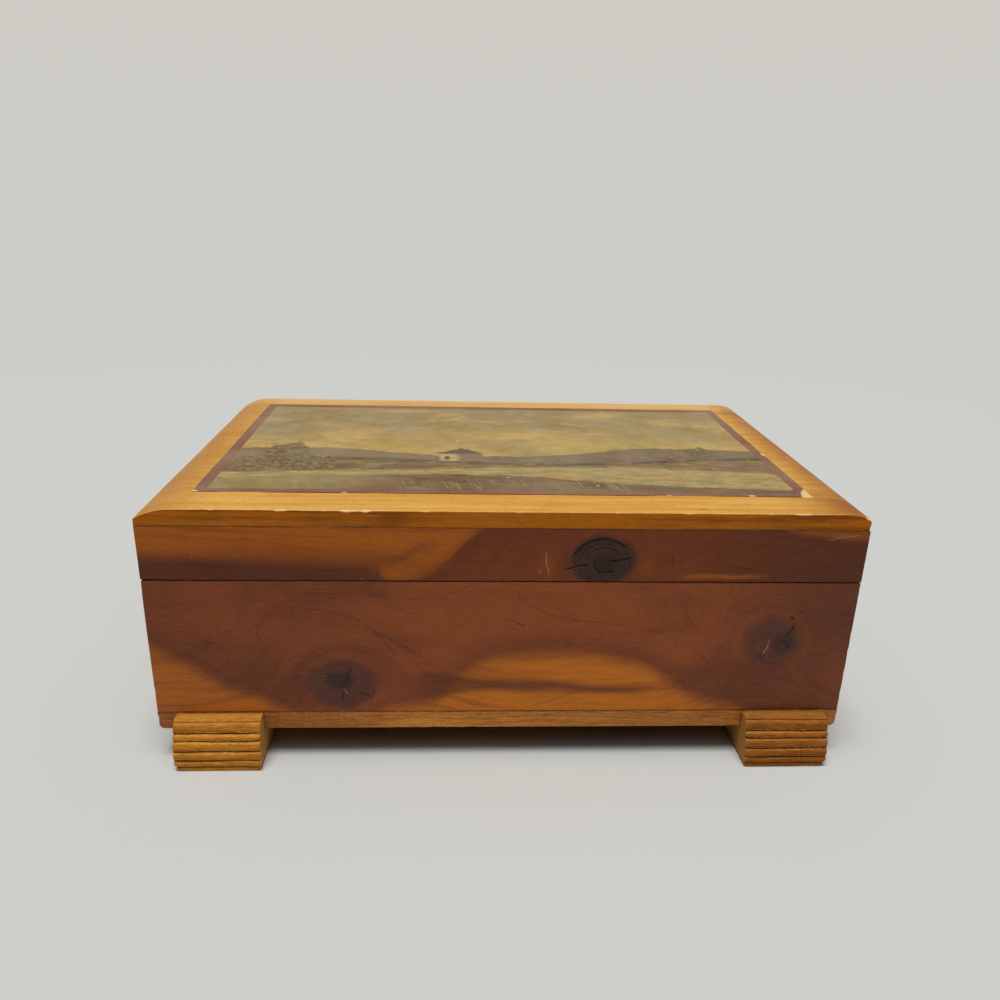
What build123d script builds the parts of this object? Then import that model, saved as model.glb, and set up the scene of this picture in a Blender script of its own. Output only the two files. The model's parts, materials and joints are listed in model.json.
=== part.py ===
from build123d import *
import math
import os

# Wooden jewelry box in red cedar. Millimetres, +Z up, the front faces -Y.
# The origin is under the middle of the box, on the surface that the feet stand on.

# Case and lid
box_width = 260.0
box_depth = 165.5
wall_thickness = 9.5
wall_height = 54.3
bottom_thickness = 7.3
bottom_end_round = 2.2
seam_gap = 0.3
rail_height = 20.45
top_thickness = 6.35
rabbet_depth = 5.0
edge_ease = 0.35

# The top board is rounded over at its two ends, the left one more
left_round_run = 13.0
left_round_drop = 3.8
right_round_run = 8.5
right_round_drop = 2.6

# Picture on the lid, paper, with its front right corner torn off
print_width = 229.2
print_depth = 134.1
print_thickness = 0.25
print_shift_y = 2.0
torn_width = 4.0
torn_depth = 8.5
torn_bite = 1.2

# Feet: reeded blocks, notched over the lower edge of the case
underside_height = 12.3
foot_length = 32.0
foot_depth = 32.0
foot_height = 19.3
left_foot_inset = 7.0
right_foot_inset = 5.5
foot_lip = 3.55
foot_reach = 8.85
foot_bulge = 2.15
foot_outer_round = 3.2
foot_inner_round = 1.4
base_band = 2.1
narrow_reed = 2.65
wide_reed = 3.7
kerf_width = 0.6
kerf_depth = 1.1

# Butt hinges, let into the seam at the back
hinge_length = 25.0
hinge_offset = 70.0
leaf_reach = 6.5
leaf_thickness = 0.8
knuckle_radius = 1.65
knuckle_gap = 0.2
knuckles = 3
pin_radius = 0.8
pin_running_fit = 0.05
pin_tight_fit = 0.02
pin_inset = 2.5
pin_end_round = 0.2
pocket_clearance = 0.25
mortise_clearance = 0.1
stop_bevel = 50.0

# Hinge screws, countersunk, slotted
screw_spacing = 15.0
screw_setback = 4.15
screw_radius = 0.9
screw_head_radius = 1.65
screw_length = 8.0
screw_point = 2.0
screw_slot_width = 0.4
screw_slot_depth = 0.3
screw_fit = 0.02

# Brads, driven up from below
brad_radius = 0.6
brad_head_radius = 1.2
brad_head_height = 0.7
brad_fit = 0.02
foot_brad_length = 15.5
foot_brad_recess = 0.5
foot_brad_spread = 14.0
foot_brad_stagger = 5.0
bottom_brad_length = 22.0
long_side_brads = 4
short_side_brads = 2
long_side_margin = 55.0
short_side_margin = 42.0

# Heights and places that follow from the sizes above
half_width = box_width / 2
half_depth = box_depth / 2
wall_base = underside_height + bottom_thickness
wall_top = wall_base + wall_height
pin_z = wall_top + seam_gap / 2
rail_base = wall_top + seam_gap
rail_top = rail_base + rail_height
lid_top = rail_top + top_thickness
pin_y = half_depth - pin_inset
hinge_places = (-hinge_offset, hinge_offset)


def block(low, high):
    """A square-cornered block between two opposite corners."""
    size = [b - a for a, b in zip(low, high)]
    middle = [(a + b) / 2 for a, b in zip(low, high)]
    return Pos(*middle) * Box(*size)


def prism_along_x(outline, start, end):
    """A (Y, Z) outline of lines and curves, drawn out from X start to X end."""
    face = make_face(outline)
    return extrude(Plane.YZ.offset(start) * face, end - start)


def rod_along_x(radius, start, end):
    return Pos((start + end) / 2, 0, 0) * Rot(0, 90, 0) * Cylinder(radius, end - start)


def rod_up(radius, start, end):
    return Pos(0, 0, (start + end) / 2) * Cylinder(radius, end - start)


def eased_front(board, height):
    """The board with a small round on the edge of its front face at that height."""
    for edge in board.edges().filter_by(Axis.X):
        centre = edge.center()
        if abs(centre.Y + half_depth) < edge_ease and abs(centre.Z - height) < edge_ease:
            board = fillet(edge, edge_ease)
    return board


# Screws and brads, drawn point up or point down about their own heads


def hinge_screw():
    """Head flush with Z = 0, point downwards."""
    head = Pos(0, 0, -leaf_thickness / 2) * Cone(screw_radius, screw_head_radius, leaf_thickness)
    shank = rod_up(screw_radius, screw_point - screw_length, -leaf_thickness)
    point = Pos(0, 0, screw_point / 2 - screw_length) * Cone(0, screw_radius, screw_point)
    slot = block(
        (-2 * screw_head_radius, -screw_slot_width / 2, -screw_slot_depth),
        (2 * screw_head_radius, screw_slot_width / 2, screw_slot_depth),
    )
    return head + shank + point - slot


def brad(length):
    """Head at Z = 0, point upwards."""
    return rod_up(brad_head_radius, 0, brad_head_height) + rod_up(brad_radius, 0, length)


def brad_hole(length, recess):
    """The hole of a brad whose head is sunk by the recess."""
    head = rod_up(brad_head_radius + brad_fit, -recess, brad_head_height)
    return head + rod_up(brad_radius + brad_fit, 0, length)


def copies(shape, places):
    return [Pos(*place) * shape for place in places]


def cut_all(solid, cutters):
    for cutter in cutters:
        solid = solid - cutter
    return solid


# Hinge, drawn about the pin, lower leaf; the upper leaf is the same turned over


def knuckle_spans(own):
    """X spans of the knuckles: the even ones are the lower leaf's, the odd ones the upper's."""
    length = (hinge_length - (knuckles - 1) * knuckle_gap) / knuckles
    spans = []
    for number in range(knuckles):
        start = -hinge_length / 2 + number * (length + knuckle_gap)
        if (number % 2 == 0) == own:
            spans.append((start, start + length))
    return spans


def screw_places():
    return [(side * screw_spacing / 2, -screw_setback, -seam_gap / 2) for side in (-1, 1)]


def hinge_leaf(lower):
    plate = block(
        (-hinge_length / 2, -leaf_reach, -seam_gap / 2 - leaf_thickness),
        (hinge_length / 2, 0, -seam_gap / 2),
    )
    for start, end in knuckle_spans(not lower):
        cleared = (start - knuckle_gap, end + knuckle_gap)
        plate = plate - rod_along_x(knuckle_radius + knuckle_gap, *cleared)
    for start, end in knuckle_spans(lower):
        plate = plate + rod_along_x(knuckle_radius, start, end)
    fit = pin_tight_fit if lower else pin_running_fit
    plate = plate - rod_along_x(pin_radius + fit, -hinge_length, hinge_length)
    sink = Pos(0, 0, -leaf_thickness / 2) * Cone(
        screw_radius + screw_fit, screw_head_radius + screw_fit, leaf_thickness
    )
    return cut_all(plate, copies(sink, screw_places()))


def hinge_pin():
    pin = rod_along_x(pin_radius, -hinge_length / 2, hinge_length / 2)
    return fillet(pin.edges().filter_by(GeomType.CIRCLE), pin_end_round)


def hinge_pocket():
    """What the lower board loses to one hinge: a leaf mortise right across the edge to
    the inside of the box, a groove for the knuckles, and screw holes."""
    half = hinge_length / 2 + mortise_clearance
    floor = -seam_gap / 2 - leaf_thickness
    mortise = block((-half, -wall_thickness, floor), (half, 0, seam_gap))
    groove = rod_along_x(knuckle_radius + pocket_clearance, -half, half)
    hole = rod_up(screw_radius + screw_fit, -screw_length, 0)
    return [mortise, groove] + copies(hole, screw_places())


turned_over = Rot(0, 180, 0)


def at_hinges(shape, upper=False):
    """The shape at both hinges, the right way up or turned over for the lid."""
    shape = turned_over * shape if upper else shape
    return copies(shape, [(place, pin_y, pin_z) for place in hinge_places])


def stop_bevel_cut(lid):
    """Wedge behind the pin that lets the lid swing past upright and then stops it."""
    base = rail_base if lid else wall_top
    slope = math.tan(math.radians(stop_bevel)) * (1 if lid else -1)
    far_y = half_depth + pin_inset
    near = (pin_y, base)
    outline = Polyline(near, (far_y, base), (far_y, base + slope * (far_y - pin_y)), close=True)
    return prism_along_x(outline, -box_width, box_width)


# Four boards in a ring, rabbeted at the corners, for the case and for the lid


def ring_of_boards(base, top):
    inner_x = half_width - wall_thickness
    inner_y = half_depth - wall_thickness
    tongue_y = inner_y + rabbet_depth
    boards = {}
    for name, side in (("front", -1), ("back", 1)):
        near_y, far_y = sorted((side * half_depth, side * inner_y))
        board = block((-half_width, near_y, base), (half_width, far_y, top))
        rabbet_near, rabbet_far = sorted((side * tongue_y, side * inner_y))
        for end in (-1, 1):
            low_x, high_x = sorted((end * half_width, end * inner_x))
            board = board - block((low_x, rabbet_near, base), (high_x, rabbet_far, top))
        boards[name] = board
    for name, side in (("left", -1), ("right", 1)):
        low_x, high_x = sorted((side * half_width, side * inner_x))
        boards[name] = block((low_x, -tongue_y, base), (high_x, tongue_y, top))
    return boards


def brad_places_under_walls():
    middle_x = half_width - wall_thickness / 2
    middle_y = half_depth - wall_thickness / 2
    span_x = box_width - 2 * long_side_margin
    span_y = box_depth - 2 * short_side_margin
    places = []
    for side in (-1, 1):
        for number in range(long_side_brads):
            share = number / (long_side_brads - 1) - 0.5
            places.append((share * span_x, side * middle_y, underside_height))
        for number in range(short_side_brads):
            share = number / (short_side_brads - 1) - 0.5
            places.append((side * middle_x, share * span_y, underside_height))
    return places


case = ring_of_boards(wall_base, wall_top)
lid = ring_of_boards(rail_base, rail_top)

case["back"] = case["back"] - stop_bevel_cut(lid=False)
lid["back"] = lid["back"] - stop_bevel_cut(lid=True)
for cutter in hinge_pocket():
    case["back"] = cut_all(case["back"], at_hinges(cutter))
    lid["back"] = cut_all(lid["back"], at_hinges(cutter, upper=True))

wall_brad_places = brad_places_under_walls()
wall_brad_holes = copies(brad_hole(bottom_brad_length, 0), wall_brad_places)
for name in case:
    case[name] = cut_all(case[name], wall_brad_holes)

case["front"] = eased_front(case["front"], wall_top)
lid["front"] = eased_front(lid["front"], rail_base)


# Feet: a convex reeded front, a notch for the bottom board, rounded lower ends

chord = math.hypot(foot_reach - foot_lip, foot_height)
front_radius = (chord**2 / 4 + foot_bulge**2) / (2 * foot_bulge)
lean_out = foot_height / chord
lean_up = (foot_reach - foot_lip) / chord


def off_the_chord(distance):
    """Point (out from the case, height) square off the middle of the front's chord."""
    out = (foot_reach + foot_lip) / 2 + lean_out * distance
    return out, foot_height / 2 + lean_up * distance


def foot_front(height):
    """How far the foot's front stands out of the case, at a height above the floor."""
    centre_out, centre_height = off_the_chord(foot_bulge - front_radius)
    return centre_out + math.sqrt(front_radius**2 - (height - centre_height) ** 2)


def foot_outline():
    """(Y, Z) outline of a front foot."""
    case_y = -half_depth
    back_y = case_y - foot_reach + foot_depth
    base = (case_y - foot_reach, 0)
    brow = (case_y - foot_lip, foot_height)
    belly_out, belly_height = off_the_chord(foot_bulge)
    curve = ThreePointArc(base, (case_y - belly_out, belly_height), brow)
    rest = Polyline(
        brow,
        (case_y, foot_height),
        (case_y, underside_height),
        (back_y, underside_height),
        (back_y, 0),
        base,
    )
    return curve + rest


def kerf_heights():
    """Kerfs above the base band, a reed apart: narrow, wide, wide, narrow."""
    heights = [base_band]
    for reed in (narrow_reed, wide_reed, wide_reed, narrow_reed):
        heights.append(heights[-1] + reed)
    return [height for height in heights if height < foot_height]


def kerf(height):
    """V-shaped groove along X in the front of a foot."""
    face_y = -half_depth - foot_front(height)
    outline = Polyline(
        (face_y - kerf_depth, height + kerf_width),
        (face_y + kerf_depth, height),
        (face_y - kerf_depth, height - kerf_width),
        close=True,
    )
    return prism_along_x(outline, -foot_length, foot_length)


def front_foot(outer):
    """A front foot, centred on X, whose outer end is towards -X or +X."""
    foot = prism_along_x(foot_outline(), -foot_length / 2, foot_length / 2)
    low_ends = foot.edges().filter_by(Axis.Y).group_by(Axis.Z)[0].sort_by(Axis.X)
    outer_end, inner_end = (0, -1) if outer < 0 else (-1, 0)
    foot = fillet(low_ends[outer_end], foot_outer_round)
    low_ends = foot.edges().filter_by(Axis.Y).group_by(Axis.Z)[0].sort_by(Axis.X)
    foot = fillet(low_ends[inner_end], foot_inner_round)
    return cut_all(foot, [kerf(height) for height in kerf_heights()])


def foot_brad_places(centre_x, side):
    """Two brads a foot, staggered, under the bottom board."""
    under_board = foot_depth - foot_reach
    places = []
    for end in (-1, 1):
        x = centre_x + end * foot_brad_spread / 2
        y = side * (half_depth - under_board / 2 + end * foot_brad_stagger / 2)
        places.append((x, y, foot_brad_recess))
    return places


left_foot_x = left_foot_inset + foot_length / 2 - half_width
right_foot_x = half_width - right_foot_inset - foot_length / 2
feet = {}
foot_brads_at = []
for row, side, turn in (("front", -1, 0), ("back", 1, 180)):
    for column, hand, centre_x in (("left", -1, left_foot_x), ("right", 1, right_foot_x)):
        foot = Pos(centre_x, 0, 0) * Rot(0, 0, turn) * front_foot(-side * hand)
        brads_at = foot_brad_places(centre_x, side)
        holes = copies(brad_hole(foot_brad_length, foot_brad_recess), brads_at)
        feet[f"{row}_{column}_foot"] = cut_all(foot, holes)
        foot_brads_at.extend(brads_at)

bottom_board = block(
    (-half_width, -half_depth, underside_height), (half_width, half_depth, wall_base)
)
lower_ends = bottom_board.edges().filter_by(Axis.Y).group_by(Axis.Z)[0]
bottom_board = fillet(lower_ends, bottom_end_round)
bottom_board = cut_all(bottom_board, wall_brad_holes)
bottom_board = cut_all(bottom_board, copies(brad_hole(foot_brad_length, 0), foot_brads_at))


# Top board and the picture on it


def top_board():
    left_start = (left_round_run - half_width, lid_top)
    left_end = (-half_width, lid_top - left_round_drop)
    right_start = (half_width - right_round_run, lid_top)
    right_end = (half_width, lid_top - right_round_drop)
    outline = (
        Line(left_start, right_start)
        + TangentArc(right_start, right_end, tangent=(1, 0))
        + Polyline(right_end, (half_width, rail_top), (-half_width, rail_top), left_end)
        + TangentArc(left_start, left_end, tangent=(-1, 0))
    )
    face = Plane.XZ.offset(-half_depth) * make_face(outline)
    return extrude(face, box_depth)


def picture_print():
    """Rectangle of paper whose front right corner is torn away."""
    right = print_width / 2
    front = print_shift_y - print_depth / 2
    back = front + print_depth
    outline = Polyline(
        (-right, front),
        (right - torn_width, front),
        (right - torn_width + torn_bite, front + torn_depth / 2),
        (right - torn_bite, front + torn_depth - torn_bite),
        (right, front + torn_depth),
        (right, back),
        (-right, back),
        close=True,
    )
    return extrude(Plane.XY.offset(lid_top) * make_face(outline), print_thickness)


lower_screws = []
upper_screws = []
for place in screw_places():
    placed = Pos(*place) * hinge_screw()
    lower_screws.extend(at_hinges(placed))
    upper_screws.extend(at_hinges(placed, upper=True))
lower_leaves = at_hinges(hinge_leaf(lower=True))
upper_leaves = at_hinges(hinge_leaf(lower=False), upper=True)
pins = at_hinges(hinge_pin())

nodes = {
    "front_wall": case["front"],
    "back_wall": case["back"],
    "left_wall": case["left"],
    "right_wall": case["right"],
    "bottom_board": bottom_board,
    "lid_front_rail": lid["front"],
    "lid_back_rail": lid["back"],
    "lid_left_rail": lid["left"],
    "lid_right_rail": lid["right"],
    "lid_top_board": top_board(),
    "picture_print": picture_print(),
    "left_hinge_lower_leaf": lower_leaves[0],
    "right_hinge_lower_leaf": lower_leaves[1],
    "left_hinge_upper_leaf": upper_leaves[0],
    "right_hinge_upper_leaf": upper_leaves[1],
    "left_hinge_pin": pins[0],
    "right_hinge_pin": pins[1],
    "lower_leaf_screws": Compound(children=lower_screws),
    "upper_leaf_screws": Compound(children=upper_screws),
    "foot_brads": Compound(children=copies(brad(foot_brad_length), foot_brads_at)),
    "bottom_brads": Compound(children=copies(brad(bottom_brad_length), wall_brad_places)),
}
nodes.update(feet)

os.makedirs("parts", exist_ok=True)
for name, shape in nodes.items():
    export_step(shape, f"parts/{name}.step")
    print(name, "solids", len(shape.solids()), "volume", round(shape.volume))
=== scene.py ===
import itertools
import json
import math

import bpy
import numpy as np
from mathutils import Matrix, Vector


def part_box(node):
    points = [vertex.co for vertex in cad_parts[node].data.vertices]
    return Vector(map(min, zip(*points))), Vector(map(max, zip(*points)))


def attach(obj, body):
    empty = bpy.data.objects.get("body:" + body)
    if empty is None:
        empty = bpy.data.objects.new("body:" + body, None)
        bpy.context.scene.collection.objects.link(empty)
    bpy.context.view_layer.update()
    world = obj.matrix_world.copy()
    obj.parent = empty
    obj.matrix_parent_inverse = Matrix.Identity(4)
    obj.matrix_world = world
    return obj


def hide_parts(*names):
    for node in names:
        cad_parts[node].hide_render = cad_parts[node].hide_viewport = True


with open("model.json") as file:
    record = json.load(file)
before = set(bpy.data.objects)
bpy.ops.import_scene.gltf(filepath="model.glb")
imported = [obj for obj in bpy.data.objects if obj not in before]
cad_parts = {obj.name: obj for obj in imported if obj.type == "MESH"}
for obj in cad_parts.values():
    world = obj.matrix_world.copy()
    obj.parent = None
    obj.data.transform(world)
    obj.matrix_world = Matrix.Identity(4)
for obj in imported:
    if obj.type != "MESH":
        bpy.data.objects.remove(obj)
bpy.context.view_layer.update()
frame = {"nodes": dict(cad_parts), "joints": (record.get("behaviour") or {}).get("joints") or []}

# Lengths here are millimetres unless a name says otherwise; meshes are written in metres
MM = 0.001
X, Y, Z = 0, 1, 2


def corners(node):
    """Lowest and highest corner of a CAD node."""
    return [np.array(corner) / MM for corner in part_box(node)]


wall_low, wall_high = corners("front_wall")
rail_low, rail_high = corners("lid_front_rail")
top_low, top_high = corners("lid_top_board")
base_low, base_high = corners("bottom_board")
print_low, print_high = corners("picture_print")
pin_y = frame["joints"][0]["pos_m"][Y] / MM

half_width = wall_high[X]
half_depth = -wall_low[Y]
wall_thickness = wall_high[Y] - wall_low[Y]
tongue_y = corners("left_wall")[1][Y]
inner_x = half_width - wall_thickness
seam_gap = rail_low[Z] - wall_high[Z]
lid_top = top_high[Z]


# Node writing: a Value is a socket that takes part in sums, a Graph owns the nodes


class Value:
    """A number on its way through a material."""

    def __init__(self, graph, socket):
        self.graph = graph
        self.socket = socket


def operator(operation, reflected):
    """A Python operator between Values and numbers, which adds a Math node."""
    def apply(self, other):
        terms = (other, self) if reflected else (self, other)
        return self.graph.math(operation, *terms)
    return apply


for sign, operation in (("add", "ADD"), ("sub", "SUBTRACT"), ("mul", "MULTIPLY"),
                        ("truediv", "DIVIDE"), ("pow", "POWER")):
    setattr(Value, f"__{sign}__", operator(operation, False))
    setattr(Value, f"__r{sign}__", operator(operation, True))


def set_stops(made, stops):
    """Colour stops of a ramp, from (position, colour) pairs."""
    elements = made.color_ramp.elements
    while len(elements) < len(stops):
        elements.new(0.5)
    for element, (position, value) in zip(elements, stops):
        element.position = position
        element.color = with_alpha(value)


def set_points(made, points):
    """Points of a Float Curve, from (x, y) pairs between 0 and 1."""
    curve = made.mapping.curves[0]
    while len(curve.points) < len(points):
        curve.points.new(0.5, 0.5)
    for point, place in zip(curve.points, points):
        point.location = place
    made.mapping.update()


def with_alpha(value):
    """An RGB triple as Blender wants it; a socket value is passed on as it is."""
    if isinstance(value, Value):
        return value
    return (*value, 1.0)


class Graph:
    """A tree of nodes, each made by one call."""

    SPECIAL = {"stops": set_stops, "points": set_points}

    def __init__(self, tree):
        self.tree = tree
        self.tree.nodes.clear()

    def node(self, kind, settings=None, inputs=None, output=0):
        made = self.tree.nodes.new(kind)
        for key, value in (settings or {}).items():
            if key in self.SPECIAL:
                self.SPECIAL[key](made, value)
            else:
                setattr(made, key, value)
        for key, value in (inputs or {}).items():
            if isinstance(value, Value):
                self.tree.links.new(value.socket, made.inputs[key])
            else:
                made.inputs[key].default_value = value
        return Value(self, made.outputs[output]) if made.outputs else None

    def math(self, operation, a, b=0.0):
        return self.node("ShaderNodeMath", {"operation": operation}, {0: a, 1: b})

    def join(self, x, y=0.0, z=0.0):
        return self.node("ShaderNodeCombineXYZ", None, {0: x, 1: y, 2: z})


class Shader(Graph):
    """One material, written as sums on its sockets."""

    def __init__(self, name):
        self.material = bpy.data.materials.new(name)
        self.material.use_nodes = True
        super().__init__(self.material.node_tree)

    def split(self, vector):
        """The X, Y and Z of a vector."""
        outputs = self.node("ShaderNodeSeparateXYZ", None, {0: vector}).socket.node.outputs
        return [Value(self, outputs[axis]) for axis in (X, Y, Z)]

    def place(self):
        """The point's own X, Y and Z in millimetres."""
        metres = self.node("ShaderNodeTexCoord", None, None, "Object")
        scale = {0: metres, "Scale": 1 / MM}
        return self.split(self.node("ShaderNodeVectorMath", {"operation": "SCALE"}, scale))

    def facing(self):
        """X, Y and Z of the direction that the surface faces, in the piece's own frame."""
        return self.split(self.node("ShaderNodeTexCoord", None, None, "Normal"))

    def attribute(self, name):
        return self.node("ShaderNodeAttribute", {"attribute_name": name}, None, "Fac")

    def least(self, a, b):
        return self.math("MINIMUM", a, b)

    def most(self, a, *others):
        for other in others:
            a = self.math("MAXIMUM", a, other)
        return a

    def size_of(self, value):
        return self.math("ABSOLUTE", value)

    def fade(self, value, start, end):
        """0 up to start, 1 from end on, smooth between. With start above end it falls."""
        if start > end:
            return 1 - self.fade(value, end, start)
        settings = {"interpolation_type": "SMOOTHSTEP"}
        inputs = {"Value": value, "From Min": start, "From Max": end}
        return self.node("ShaderNodeMapRange", settings, inputs)

    def bell(self, value, middle, reach):
        """1 at the middle, falling to 0 a reach away on both sides."""
        return self.fade(self.size_of(value - middle), reach, 0)

    def cloud(self, x, y=0.0, z=0.0, detail=2.0, roughness=0.5):
        """Smooth noise about 0.5, with features about one unit wide."""
        inputs = {"Vector": self.join(x, y, z), "Scale": 1.0}
        inputs.update({"Detail": detail, "Roughness": roughness})
        return self.node("ShaderNodeTexNoise", None, inputs)

    def cells(self, x, y=0.0, z=0.0, output="Distance"):
        """Scattered cells, one a unit: the distance to the middle, or the middle's place."""
        inputs = {"Vector": self.join(x, y, z), "Scale": 1.0}
        return self.node("ShaderNodeTexVoronoi", None, inputs, output)

    def chance(self, value):
        """A random number from 0 to 1 that goes with a value."""
        return self.node("ShaderNodeTexWhiteNoise", {"noise_dimensions": "1D"}, {"W": value})

    def profile(self, value, points):
        """Height of the smooth line through (place, height) points, at the value."""
        places, heights = zip(*points)
        low, span = min(places), max(places) - min(places)
        floor, rise = min(heights), max(heights) - min(heights)
        shares = [((place - low) / span, (height - floor) / rise) for place, height in points]
        inputs = {"Value": (value - low) / span}
        return self.node("ShaderNodeFloatCurve", {"points": shares}, inputs) * rise + floor

    def end_grain(self, axis):
        """1 where the surface is cut across the grain that runs along an axis."""
        return self.fade(self.size_of(self.facing()[axis]), 0.6, 0.9)

    def ramp(self, share, *stops):
        """Colour at a share, between (position, colour) stops."""
        return self.node("ShaderNodeValToRGB", {"stops": stops}, {0: share})

    def mix(self, share, a, b, how="MIX"):
        """From colour a to colour b by the share; how names another way, such as MULTIPLY."""
        settings = {"data_type": "RGBA", "blend_type": how}
        inputs = {0: share, 6: with_alpha(a), 7: with_alpha(b)}
        return self.node("ShaderNodeMix", settings, inputs, 2)

    def layers(self, colour, *coats):
        """The colour under several (share, colour) coats, the last on top."""
        for share, coat in coats:
            colour = self.mix(share, colour, coat)
        return colour

    def shades(self, colour, *coats):
        """The colour multiplied by several (share, shade) pairs."""
        for share, shade in coats:
            colour = self.mix(share, colour, shade, "MULTIPLY")
        return colour

    def finish(self, height=None, relief=0.1, **sockets):
        """Ends the material: the surface's sockets, and bumps of the height times the relief."""
        inputs = {key.replace("_", " "): value for key, value in sockets.items()}
        if height is not None:
            bumps = {"Height": height, "Distance": relief * MM}
            inputs["Normal"] = self.node("ShaderNodeBump", None, bumps)
        surface = self.node("ShaderNodeBsdfPrincipled", None, inputs)
        self.node("ShaderNodeOutputMaterial", None, {0: surface})
        return self.material


def placed(name, data):
    """A new object in the scene, at the origin."""
    made = bpy.data.objects.new(name, data)
    bpy.context.scene.collection.objects.link(made)
    return made


# Mesh making: skins of grids of blocks, which are then shaped point by point

EASE_STEPS = (0.12, 0.3, 0.55, 0.9, 1.4)
GRID_CLEARANCE = 0.06
SHARP_ANGLE = math.radians(40)


def grid_line(low, high, step, exact=(), fine=(), fine_step=0.45):
    """Places from low to high, about a step apart, and closer near both ends and in the
    fine spans. Those named exact are among them."""
    fixed = sorted({low, high, *exact})
    loose = list(np.linspace(low, high, round((high - low) / step) + 1))
    loose += [low + ease for ease in EASE_STEPS]
    loose += [high - ease for ease in EASE_STEPS]
    for start, end in fine:
        loose += list(np.arange(max(start, low), min(end, high), fine_step))
    clear = [place for place in loose
             if min(abs(place - mark) for mark in fixed) > GRID_CLEARANCE]
    return np.unique(np.round(fixed + clear, 4))


def block_skin(xs, ys, zs, solid=None):
    """Points and four-sided faces of the closed skin round a grid of blocks. solid says
    of block middles (x, y, z) which blocks are there; otherwise all are."""
    lines = (xs, ys, zs)
    middles = [(line[1:] + line[:-1]) / 2 for line in lines]
    filled = np.ones([len(middle) for middle in middles], bool)
    if solid is not None:
        filled = solid(*np.meshgrid(*middles, indexing="ij"))
    padded = np.pad(filled, 1)
    counts = [len(line) for line in lines]
    faces = []
    for axis, side in itertools.product(range(3), (0, 1)):
        neighbour = np.roll(padded, 1 - 2 * side, axis)[1:-1, 1:-1, 1:-1]
        at = np.argwhere(filled & ~neighbour)
        at[:, axis] += side
        across, up = [(axis + turn) % 3 for turn in (1, 2)]
        ring = [at.copy() for _ in range(4)]
        ring[1][:, across] += 1
        ring[2][:, across] += 1
        ring[2][:, up] += 1
        ring[3][:, up] += 1
        if side == 0:
            ring.reverse()
        numbers = [np.ravel_multi_index(corner.T, counts) for corner in ring]
        faces.append(np.stack(numbers, axis=1))
    used, faces = np.unique(np.concatenate(faces), return_inverse=True)
    faces = faces.reshape(-1, 4)
    at = np.unravel_index(used, counts)
    points = np.stack([line[index] for line, index in zip(lines, at)], axis=1)
    return points, faces


def hashed(cell, seed):
    """A fixed random number from 0 to 1 for each whole-numbered cell."""
    mixed = cell @ np.array([127.1, 311.7, 74.7]) + seed * 53.3
    return np.modf(np.abs(np.sin(mixed)) * 43758.5453)[0]


def ripple(points, size, seed):
    """Smooth noise from -1 to 1, with lumps of about that size, one for each axis or one."""
    scaled = points / np.asarray(size, float)
    cell = np.floor(scaled)
    part = scaled - cell
    part = part * part * (3 - 2 * part)
    total = np.zeros(len(points))
    for corner in itertools.product((0, 1), repeat=3):
        share = np.prod(np.where(corner, part, 1 - part), axis=1)
        total += share * hashed(cell + corner, seed)
    return 2 * total - 1


def smooth(value, start, end):
    """0 before start, 1 after end, smooth between."""
    share = np.clip((value - start) / (end - start), 0, 1)
    return share * share * (3 - 2 * share)


def eased(points, low, high, radius):
    """The points of a block from low to high with its edges rounded to the radius, which
    may differ from point to point, and how far each point moved."""
    radius = np.broadcast_to(radius, len(points))[:, None]
    core = np.clip(points, low + radius, high - radius)
    out = points - core
    distance = np.linalg.norm(out, axis=1, keepdims=True)
    moved = core + out / np.maximum(distance, 1e-9) * radius
    return moved, np.linalg.norm(moved - points, axis=1)


def closeness(points, line, width, axes):
    """1 on a line drawn through the given pair of axes, falling to 0 a width away."""
    flat = points[:, axes]
    nearest = np.full(len(points), np.inf)
    for start, end in zip(np.array(line[:-1], float), np.array(line[1:], float)):
        run = end - start
        share = np.clip((flat - start) @ run / (run @ run), 0, 1)
        away = np.linalg.norm(flat - start - share[:, None] * run, axis=1)
        nearest = np.minimum(nearest, away)
    return 1 - smooth(nearest, 0, width)


def arc(centre, radii, start, end, steps=14):
    """Points along an ellipse, from one angle to another in degrees."""
    turns = np.radians(np.linspace(start, end, steps))
    return [(centre[0] + radii[0] * math.cos(t), centre[1] + radii[1] * math.sin(t)) for t in turns]


def make_piece(name, points, faces, body, slot, replaces, material, **marks):
    """A finished mesh in the frame, which rides on its body and stands for CAD nodes. Marks
    are numbers for each point, which the materials read by name."""
    mesh = bpy.data.meshes.new(name)
    mesh.from_pydata((points * MM).tolist(), [], faces.tolist())
    for mark, values in marks.items():
        layer = mesh.attributes.new(mark, "FLOAT", "POINT")
        layer.data.foreach_set("value", np.asarray(values, np.float32))
    mesh.shade_smooth()
    mesh.set_sharp_from_angle(angle=SHARP_ANGLE)
    mesh.materials.append(material)
    piece = placed(name, mesh)
    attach(piece, body)
    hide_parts(*replaces)


# Colours of the wood, as the varnish shows them and as it is where bare

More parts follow.
